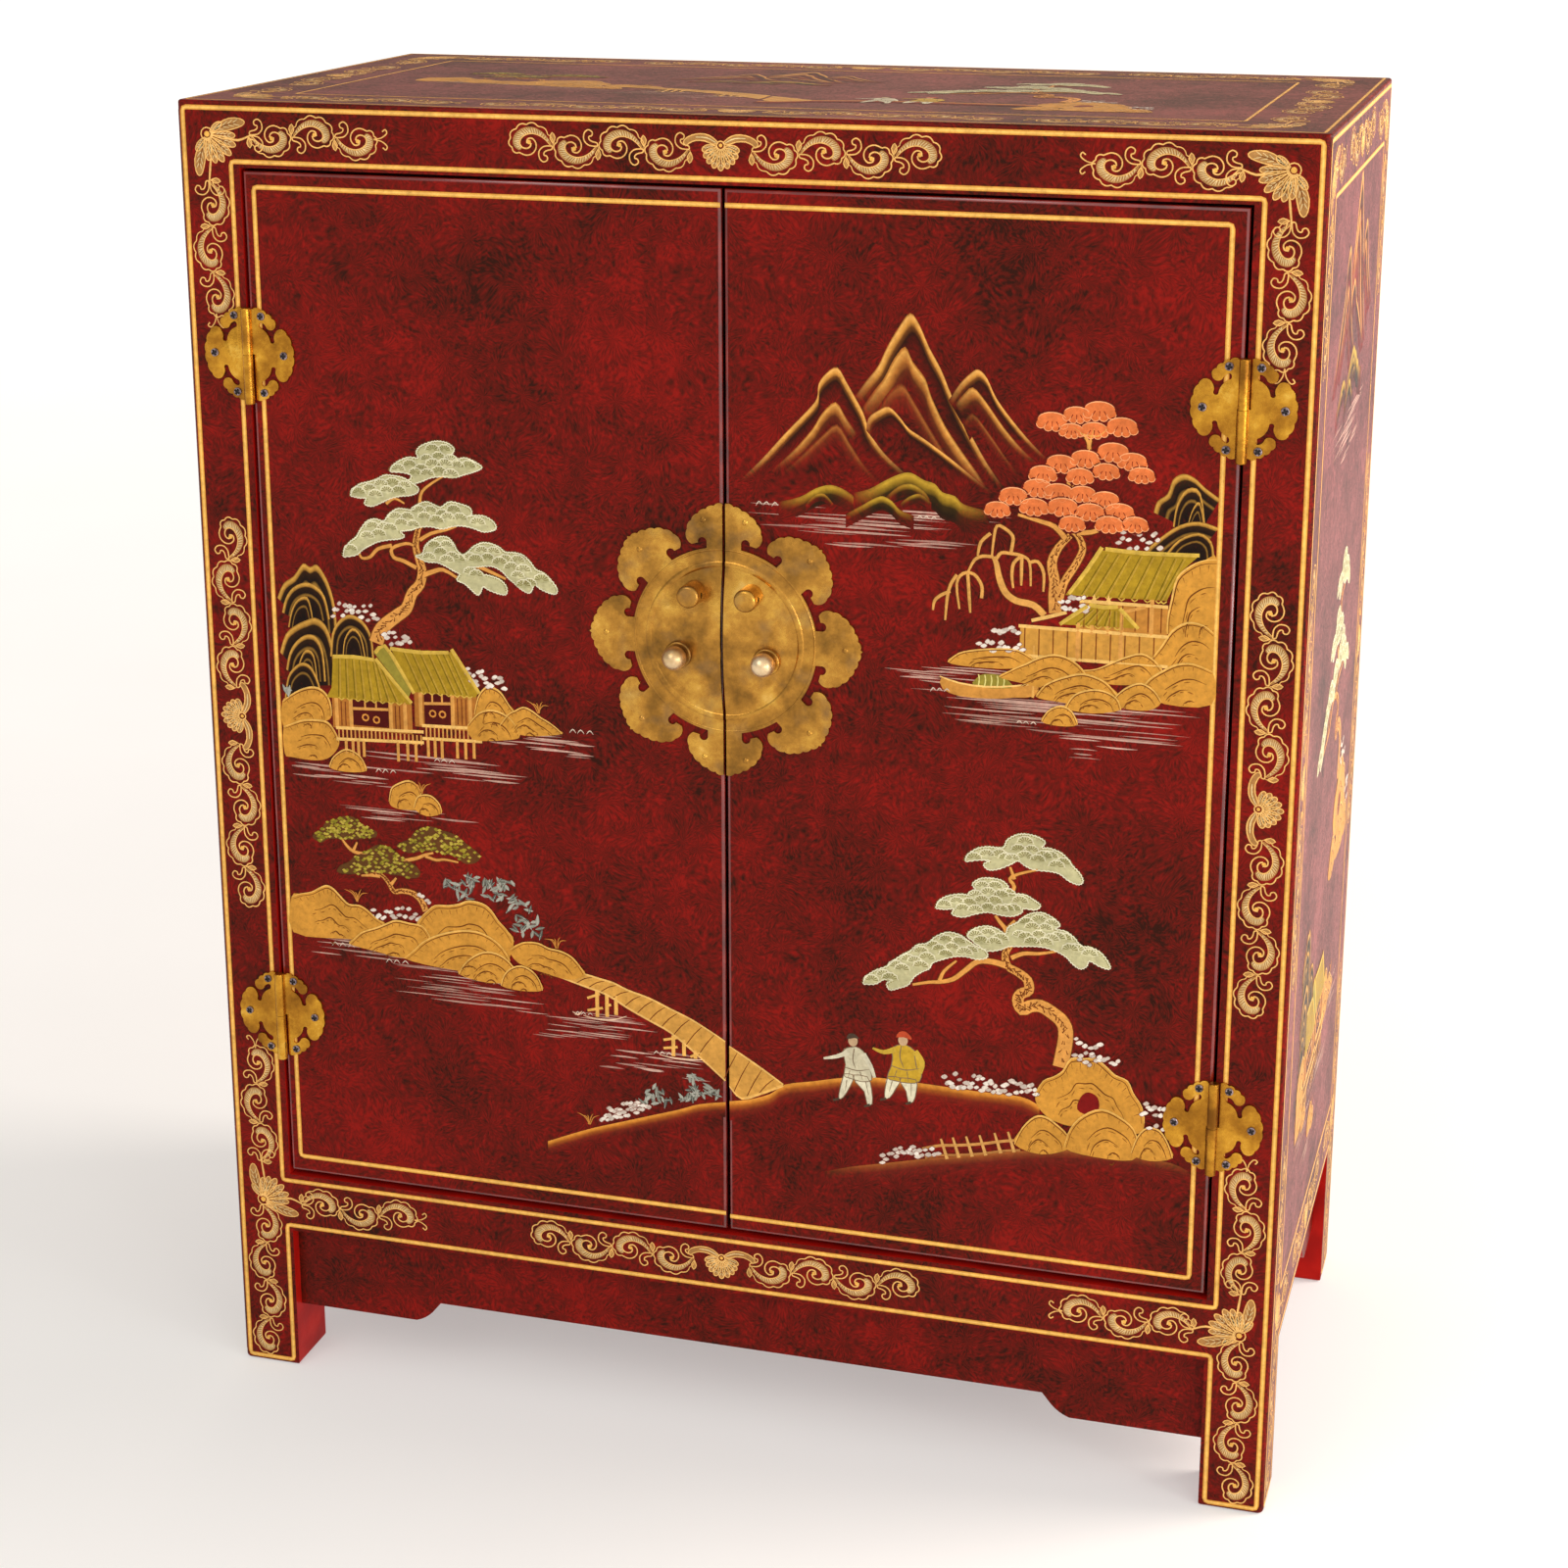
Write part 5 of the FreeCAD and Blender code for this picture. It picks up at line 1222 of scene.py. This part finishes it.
pavilion_left += bars(["94,482 158,485", "94,490 158,492.5", "157,488 200,489.5", "157,497 200,498.5"], 2.4,
                      RAIL)
pavilion_left += roof("88,511 92,518 94,540 125,541 150,511",
                      ("94,540 109,541 124,540", "125,541 137,527 150,512"),
                      [(98, 97), (103, 103), (108, 109), (113, 115), (118, 121), (123, 127), (125, 133),
                       (127, 139)])
pavilion_left += [fill("124,545 128,549 133,551 141,537 150,520 148,516", "8E8030", 0.1, 0)]
pavilion_left += roof("137,548 178,549 181,552 199,524 196,520 152,520 147,524",
                      ("136,549 157,548 178,549.6", "180,552 190,537 199,523",
                      "125,545 132,550.6 142,536 152,519"),
                      [(144, 157), (150, 163), (156, 169), (162, 175), (168, 181), (173, 186), (177, 190)])
painted("pavilion_left", "left_door", pavilion_left, 0.001)

pavilion_right = [fill("563,578 563,598 655,598 655,578", WALL, 0.06, 0),
                  fill("600,578 600,618 655,618 655,578", SHADED_WALL, 0.05, 0)]
pavilion_right += bars([(u, 578, 597) for u in range(566, 656, 9)], 0.9, BOARD_LINE)
pavilion_right += bars([(u, 600, 616) for u in range(603, 655, 8)], 0.9, BOARD_LINE)
pavilion_right += bars([(599.5, 578, 603), (626.5, 580, 614), (645, 598, 621), (608, 596, 602),
                        (618, 596, 602)], 3)
pavilion_right += bars(["562,598 656,598", "562,579 656,579", "570,602 580,605 592,609", "600,617 655,617"],
                       2.4, RAIL)
pavilion_right += roof("591,620 612,650 672,650 662,640 654,621",
                       ("615,651 640,650 673,651", "613,652 604,637 593,621"),
                       [(616, 601), (623, 608), (630, 616), (637, 624), (644, 632), (651, 640), (658, 647),
                        (663, 650)])
pavilion_right += bars(["628,612 641,616"], 2.4)
pavilion_right += roof("589,601 600,609 606,614 624,614 630,609 636,602",
                       ("606,615 615,614 624,615", "605,614 597,608 588,601",
                       "625,614 630,609 637,602"),
                       [(608, 598), (612, 604), (616, 610), (619, 616), (622, 622)])
for u in (609, 618):
    pavilion_right.append(fill([(u - 2.4, 616), (u - 1, 619), (u, 622), (u + 1, 619), (u + 2.4, 616)], RAIL,
                               0.12, 2))
painted("pavilion_right", "right_door", pavilion_right, 0.001)

# A small covered boat at its mooring, two walkers coming down to the bridge, and a paling fence, all in gold
# and thinned cream paint. The walkers are a few millimetres tall, with plain blank heads.
boat = [fill("513,560 514,553 525,549 545,549 560,551 573,553 575,561 560,558 540,556 525,557", "C98B3E",
             0.08, 2),
        line_stroke("512,561 525,557.6 542,556.6 560,558.6 576,562", 1.3, "F0C070", 0.1, (0.6, 0.6), 2),
        fill("534,556 536,562 541,565 551,565 556,562 558,557", "8A7C2E", 0.1, 2),
        line_stroke("572,552 572,586", 1.6, "D9A050", 0.1, (1, 0.7), 1)]
boat += [line_stroke([(u, 557), (u + 0.6, 561), (u, 564.4)], 0.8, "D8C97A", 0.12, steps=2)
         for u in (537, 541, 545, 549, 553)]
painted("boat", "right_door", boat, OVER)

CLOTH, PALE_CLOTH, FOLD_LINE, SHOE, SLEEVE = "CFC6AA", "D8CFB0", "7C6A52", "4A3A2C", "C6A23A"
walkers = []
for text, tint, lift in (
        ("451,281 458,281 455,272 450.5,264 447.5,263 448.5,271", CLOTH, 0.09),
        ("457,281 467,281 470,272 470.5,262 467,261.5 465,270 459,276", CLOTH, 0.09),
        ("450,297 453,300 459,301.5 464,299 467,294 469,286 470,279 463,277 455,278.5 451,280 452,288",
         "C4BA9C", 0.1),
        ("481,283 490,283 486,274 482.5,268 479,267.5 479.5,276", PALE_CLOTH, 0.09),
        ("489,283 500,283 500.5,275 498.5,267 495,266.6 493.5,274 490,279", PALE_CLOTH, 0.09),
        ("483,303 487,306 493,307 499,303.5 502,297 504,290 502.5,282 495,280 486,280.5 480.5,282 483,290 "
         "484,297", "BE982E", 0.1)):
    walkers += [fill(text, tint, lift, 2),
                outline(spots(text), 0.6, FOLD_LINE, lift + 0.02, rise=0.01, cover=0.8)]
walkers += [line_stroke(text, width, tint, 0.12, (1, 0.8), 3) for text, width, tint in (
    ("454,297 446,293 437,290.5", (3.6, 1.8), CLOTH), ("464,297 469,289 472,281", (3.8, 2.4), CLOTH),
    ("486,303 478,300 470.5,302", (4.2, 1.8), SLEEVE), ("499,303 504,296 503,288", (4.6, 3), SLEEVE),
    ("447.5,262.6 443.5,261.2", 1.9, SHOE), ("469,261 465,259.4", 1.9, SHOE),
    ("480,267 476,265.6", 1.9, SHOE), ("497,266.4 493.4,264.8", 1.9, SHOE))]
walkers += [line_stroke(text, 0.7, FOLD_LINE, 0.14, (0.8, 0.3), 3, 0.02, 0.9) for text in (
    "451.5,286 460,284.5 468.5,286.5", "458,300 457,292 459,286", "455,284 454,279", "462,284 464,278",
    "453,277 452,269", "466,277 468,268", "483.5,291 493,289 502.5,291.5", "490,306 489,298 492,290",
    "487,288 485,282", "494,288 495,281", "484,280 482,272", "497,280 497,271",
    "450,297 453,300 459,301.5", "499,300 500,294 501,290")]
for u, v, cap, shade in ((457, 305.4, "452.8,306.4 454,310 458,310.6 461.4,307.4 458,307.6", "4A3A2E"),
                         (491, 310, "486.2,311.6 488.4,315.6 492.6,316.4 496.2,313.4 496.6,311 491.4,312.2",
                          "B5482A")):
    head = [(u + 3.3 * math.cos(k * math.pi / 4), v + 3.9 * math.sin(k * math.pi / 4)) for k in range(8)]
    walkers += [fill(head, "BE9C78", 0.13, 2), fill(cap, shade, 0.15, 2)]
fence = [line_stroke("505,234 517,238 530,240 545,243 560,247 571,249", 2, "C58B4A", 0.1),
         line_stroke("507,228 517,231 530,233 545,236 560,240 571,242", 1.6, "A9713A", 0.09)]
fence += [line_stroke([(u + 3, v), (u - 1.5, v + 14)], 2.4, "CF9A55", 0.11, (1, 0.6), 1) for u, v in
          ((519, 229), (527, 231), (536, 233), (545, 235), (555, 238), (564, 240))]
painted("walkers_and_fence", "right_door", walkers + fence, OVER)

# Leafy clumps at the water's edge: single pointed leaves dabbed in silvery grey-greens, with pale veins.
# Reeds and white blossoms grow between them.
def clump(u0, v0, u1, v1, count, seed, slope=0.0):
    dice = random.Random(seed)
    shapes = []
    for k in range(count):
        u, v, turn = dice.uniform(u0, u1), dice.uniform(v0, v1), dice.uniform(0, math.pi)
        v += slope * (u - u0)
        c, s = math.cos(turn), math.sin(turn)
        size = dice.uniform(2.4, 4.4)
        leaf = [(u + x * c * size - y * s, v + x * s * size + y * c)
                for x, y in ((-1, 0), (-0.1, 1.2), (1, 0), (-0.1, -1.2))]
        shapes += [fill(leaf, dice.choice(("85867A", "9C9C8E", "6A6C60", "4E5048")), 0.1, 2),
                   line_stroke([leaf[0], leaf[2]], 0.5, "C4C2B4", 0.11, (0.6, 0.2), 1, 0.02, 0.8)]
    return shapes


clumps = several(
    clump, (169, 376, 190, 388, 20, 1), (182, 384, 194, 393, 11, 2), (196, 378, 206, 390, 12, 3),
    (208, 378, 221, 393, 18, 4), (216, 370, 232, 380, 13, 5), (219, 352, 240, 368, 24, 6),
    (312, 245, 325, 256, 14, 7), (342, 252, 353, 267, 17, 8), (354, 253, 364, 263, 11, 9),
    (303, 237, 350, 241, 26, 10, 0.28), (56, 512, 64, 516, 4, 11))
clumps += reeds(271, 221, 9, 12)
clumps += several(blossoms, (279, 224, 314, 228, 24, 9, 0.4), (284, 231, 306, 235, 12, 19, 0.3))
painted("leaf_clumps", "left_door", clumps, 0.0008)

# The top and the two ends have the same gilt lines and scrolls as the front, round panels with smaller
# landscapes of the same kind: mountains, a pine on its rock, and the pavilions by the water.
def relaid(shapes, origin, to, scale=1.0, flip=1):
    """Painted shapes copied to another place, smaller or mirrored."""
    moved = []
    for corners, faces, tints in shapes:
        laid = [(to[0] + flip * scale * (u - origin[0]), to[1] + scale * (v - origin[1]), h * 0.6)
                for u, v, h in corners]
        moved.append((laid, [part[::-1] for part in faces] if flip < 0 else faces, tints))
    return moved


WIDTH, DEPTH = 740.0, 380.0
LAID_STEP = 0.0001
for side, way in (("right", 1), ("left", -1)):
    painted("gilt_lines_" + side, "carcass", [leg_line(DEPTH), box_line(39.0, 147.0, DEPTH - 39.0, 866.0)],
            face=side)
    scrolls = run_of_scroll((DEPTH / 2, 885.0), (1, 0), 2, 1)
    scrolls += run_of_scroll((DEPTH / 2, 129.5), (1, 0), 2, 1)
    for centre, across in ((21.5, 1), (DEPTH - 21.5, -1)):
        scrolls += run_of_scroll((centre, 505.0), (0, 1), 4, -across)
        scrolls += corner_scroll((centre, 885.0), across, -1, 1, 3)
        scrolls += corner_scroll((centre, 129.5), across, 1, 1, 3)
        scrolls += scroll_arm((centre, 125.0), (0, -1), 4, across)
    painted("gilt_scrolls_" + side, "carcass", scrolls, face=side)
    scene_parts = []
    for shapes, origin, (across, up), scale in (
            (mountains, (480, 705), (0, 765), 1.15), (far_water, (470, 655), (0, 695), 1.15),
            (pine_right + garden, (596, 300), (60, 430), 1.1),
            (pavilion_water + dark_left + shore_left + pavilion_left, (150, 490), (-10, 255), 1.05)):
        scene_parts += relaid(shapes, origin, (DEPTH / 2 + across * way, up), scale, way)
    painted("landscape_" + side, "carcass", scene_parts, LAID_STEP, side)

top_lines = [ruled([(u, v), (u, DEPTH - v), (WIDTH - u, DEPTH - v), (WIDTH - u, v)], width=2.2)
             for u, v in ((4.6, 4.6), (58.0, 56.0))]
painted("gilt_lines_top", "carcass", top_lines, face="top")
scrolls = run_of_scroll((370, 30), (1, 0), 5, 1) + run_of_scroll((370, DEPTH - 30), (1, 0), 5, 1)
scrolls += run_of_scroll((31, DEPTH / 2), (0, 1), 2, -1) + run_of_scroll((709, DEPTH / 2), (0, 1), 2, 1)
for u, across in ((31, 1), (709, -1)):
    for v, down in ((30, 1), (DEPTH - 30, -1)):
        scrolls += corner_scroll((u, v), across, down, 4, 1)
painted("gilt_scrolls_top", "carcass", scrolls, face="top")
near_shapes = (island_water + island + olive_tree + [hill] + bridge_left + bridge_right + walkers + garden
               + pine_right)
scene_parts = relaid(mountains, (480, 690), (335, 232), 0.75)
scene_parts += relaid(near_shapes, (60, 300), (100, 135), 0.85)
painted("landscape_top", "carcass", scene_parts, LAID_STEP, "top")

# Brass hinges, face plate, posts and knobs. The metal is cast and rolled brass, tarnished in brown stains.
# Leaves and plates are cut from sheet, their edges filed round, and two rings are chased into each plate.
def aged(name, stops, rough, bumps=0.0004, cloud=0.0):
    """Brass tarnished in clouds: bright where hands rub it, brown and a little grey where they don't."""
    made, tree, shader = finish(name, Metallic=0.92)
    place = on_piece(tree)
    stain = noise(tree, place, 34.0, 6, 0.66)
    fine = noise(tree, place, 420.0, 3)
    metal = ramp(tree, stain, *stops)
    grey = calc(tree, "MULTIPLY", spread(tree, noise(tree, place, 55.0, 3), 0.52, 0.7), cloud)
    wire(tree, shader, Base_Color=blend_colours(tree, grey, metal, colour("6A5A48")),
         Roughness=spread(tree, stain, 0.3, 0.7, *rough))
    relief(tree, shader, calc(tree, "ADD", stain, calc(tree, "MULTIPLY", fine, 0.12)), bumps)
    return made


plate_brass = aged("plate_brass", ((0.3, "6C4C20"), (0.42, "94682A"), (0.52, "B48034"), (0.62, "CE9C42"),
                                   (0.75, "E8BC66")), (0.36, 0.2), 0.0006, 0.35)
hinge_brass = aged("hinge_brass", ((0.3, "764A14"), (0.45, "A67020"), (0.58, "CC942E"), (0.72, "EEC258")),
                   (0.34, 0.18), 0.0007)
# The knobs' brass is laid pale, nearly white: a painted sheen standing for the broad highlights on the balls.
knob_brass_painted_sheen = aged("knob_brass_painted_sheen", ((0.3, "C09A66"), (0.5, "E6CBA2"), (0.7, "FAEEDC")), (0.36, 0.28), 0.0001)
FILED = 0.00055
SHEET_FACE = FRONT - 1.5


def filed(name, material):
    """The sheet-brass piece in place of its plain solid, with the front rims filed round."""
    sheet = bmesh.new()
    sheet.from_mesh(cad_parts[name].data)
    bmesh.ops.remove_doubles(sheet, verts=sheet.verts, dist=0.000004)
    bmesh.ops.dissolve_limit(sheet, angle_limit=math.radians(0.3), verts=sheet.verts, edges=sheet.edges)
    rims = [e for e in sheet.edges if len(e.link_faces) == 2 and e.calc_face_angle() > math.radians(50)
            and all(abs(v.co.y - SHEET_FACE / 1000) < 0.00004 for v in e.verts)]
    bmesh.ops.bevel(sheet, geom=rims, offset=FILED, segments=2, profile=0.6, affect="EDGES",
                    clamp_overlap=True)
    for face in sheet.faces:
        face.smooth = True
    for edge in sheet.edges:
        edge.smooth = len(edge.link_faces) == 2 and edge.calc_face_angle() < math.radians(38)
    mesh = bpy.data.meshes.new(name + "_filed")
    sheet.to_mesh(mesh)
    sheet.free()
    mesh.materials.clear()
    mesh.materials.append(material)
    piece = new_object(name + "_filed", mesh)
    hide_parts(name)
    return piece


PLATE_CENTRE, RING_STEPS = 573.0, 56
BEAD_PROFILE = ((-1, -0.6), (-0.7, 0.5), (-0.25, 0.94), (0.25, 0.94), (0.7, 0.5), (1, -0.6))


def swept_ring(name, radius, half_width, rise, way):
    """A low rounded bead round the plate's centre, on one half plate."""
    points, faces = [], []
    near = math.asin(1.0 / radius)
    for k in range(RING_STEPS + 1):
        turn = near + (math.pi - 2 * near) * k / RING_STEPS
        for a, h in BEAD_PROFILE:
            r = radius + a * half_width
            place = (way * r * math.sin(turn), SHEET_FACE - h * rise, PLATE_CENTRE + r * math.cos(turn))
            points.append([c / 1000 for c in place])
            if k and a < 1:
                i = len(points) - 1
                face = (i, i + 1, i + 1 - len(BEAD_PROFILE), i - len(BEAD_PROFILE))
                faces.append(face if way < 0 else face[::-1])
    piece = new_piece(name, points, faces, plate_brass)
    for face in piece.data.polygons:
        face.use_smooth = True
    return piece


for side, way in (("left", -1), ("right", 1)):
    door = side + "_door"
    for name, body in (("face_plate_", door), ("hinge_frame_leaf_upper_", "carcass"),
                       ("hinge_frame_leaf_lower_", "carcass"), ("hinge_door_leaf_upper_", door),
                       ("hinge_door_leaf_lower_", door)):
        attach(filed(name + side, plate_brass if "plate" in name else hinge_brass), body)
    for label, radius, half_width, rise in (("dome", 51.0, 2.6, 0.7), ("rim", 60.4, 0.7, 0.3)):
        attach(swept_ring(f"chased_ring_{label}_{side}", radius, half_width, rise, way), door)
coat(plate_brass, "face_plate_nails", "lock_post", "knob_collar")
coat(hinge_brass, "hinge_pin")
coat(knob_brass_painted_sheen, "knob_left", "knob_right")

# Screws of the hinges: turned steel gone purplish grey, with the cross recess coloured near black as painted
# shade.
# Each is driven through its hole in the leaf, and its low head stands on the brass.
steel = one_coat("screw_steel", 600.0, 3, ((0.3, "584A4C"), (0.5, "7C6C70"), (0.7, "A8989C")), (0.5, 0.3),
                 Metallic=0.75)
# the cross recess is coloured near black: painted shade in the recess
recess_painted_shade = one_coat("screw_recess_painted_shade", 900.0, 2, ((0.35, "120C0E"), (0.65, "2A1D20")), Roughness=0.8)
HEAD_RADIUS, HEAD_RISE, SLOT_HALF, SLOT_REACH, SLOT_DEPTH = 2.8, 1.1, 0.8, 2.0, 0.9
SHANK_RADIUS = 1.4


def screw(at_u, at_v, turn):
    """Corner points, faces and finishes of one screw, head towards the front, in metres."""
    s, r = SLOT_HALF, SLOT_REACH
    cross = [(s, s), (s, r), (-s, r), (-s, s), (-r, s), (-r, -s), (-s, -s), (-s, -r), (s, -r), (s, -s),
             (r, -s), (r, s)]
    around = [math.atan2(b, a) for a, b in cross]
    rings = [[(a, b, HEAD_RISE - SLOT_DEPTH) for a, b in cross], [(a, b, HEAD_RISE) for a, b in cross]]
    for radius, rise in ((HEAD_RADIUS * 0.8, HEAD_RISE), (HEAD_RADIUS * 0.95, HEAD_RISE * 0.7),
                         (HEAD_RADIUS, 0.0), (SHANK_RADIUS, 0.0), (SHANK_RADIUS, -9.0), (0.2, -12.0)):
        rings.append([(radius * math.cos(t), radius * math.sin(t), rise) for t in around])
    c, s = math.cos(turn), math.sin(turn)
    points = [(at_u + a * c - b * s, SHEET_FACE - h, at_v + a * s + b * c)
              for ring in rings for a, b, h in ring]
    count = len(cross)
    faces = [tuple(range(count))]
    for first in range(0, count * (len(rings) - 1), count):
        for k in range(count):
            after = (k + 1) % count
            faces.append((first + k, first + after, first + count + after, first + count + k))
    kinds = [1] * (1 + count) + [0] * (len(faces) - 1 - count)
    return [tuple(c / 1000 for c in p) for p in points], faces, kinds


SCREW_PLACES = ((9.6, 25.4), (9.6, -25.4), (24.8, 0.0))
HINGE_U, HINGE_HEIGHTS = 326.0, (743.0, 276.0)
for node, body, sides, inward in (("hinge_screws_frame", "carcass", (-1, 1), 1),
                                  ("hinge_screws_door_left", "left_door", (-1,), -1),
                                  ("hinge_screws_door_right", "right_door", (1,), -1)):
    points, faces, kinds = [], [], []
    dice = random.Random(len(node))
    for way in sides:
        for height in HINGE_HEIGHTS:
            for across, up in SCREW_PLACES:
                more, parts, looks = screw(way * (HINGE_U + inward * across), height + up,
                                           dice.uniform(0, 1.5))
                faces += [tuple(len(points) + k for k in part) for part in parts]
                points += more
                kinds += looks
    piece = new_piece(node + "_turned", points, faces, steel)
    piece.data.materials.append(recess_painted_shade)
    for face, kind in zip(piece.data.polygons, kinds):
        face.material_index = kind
    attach(piece, body)
    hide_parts(node)
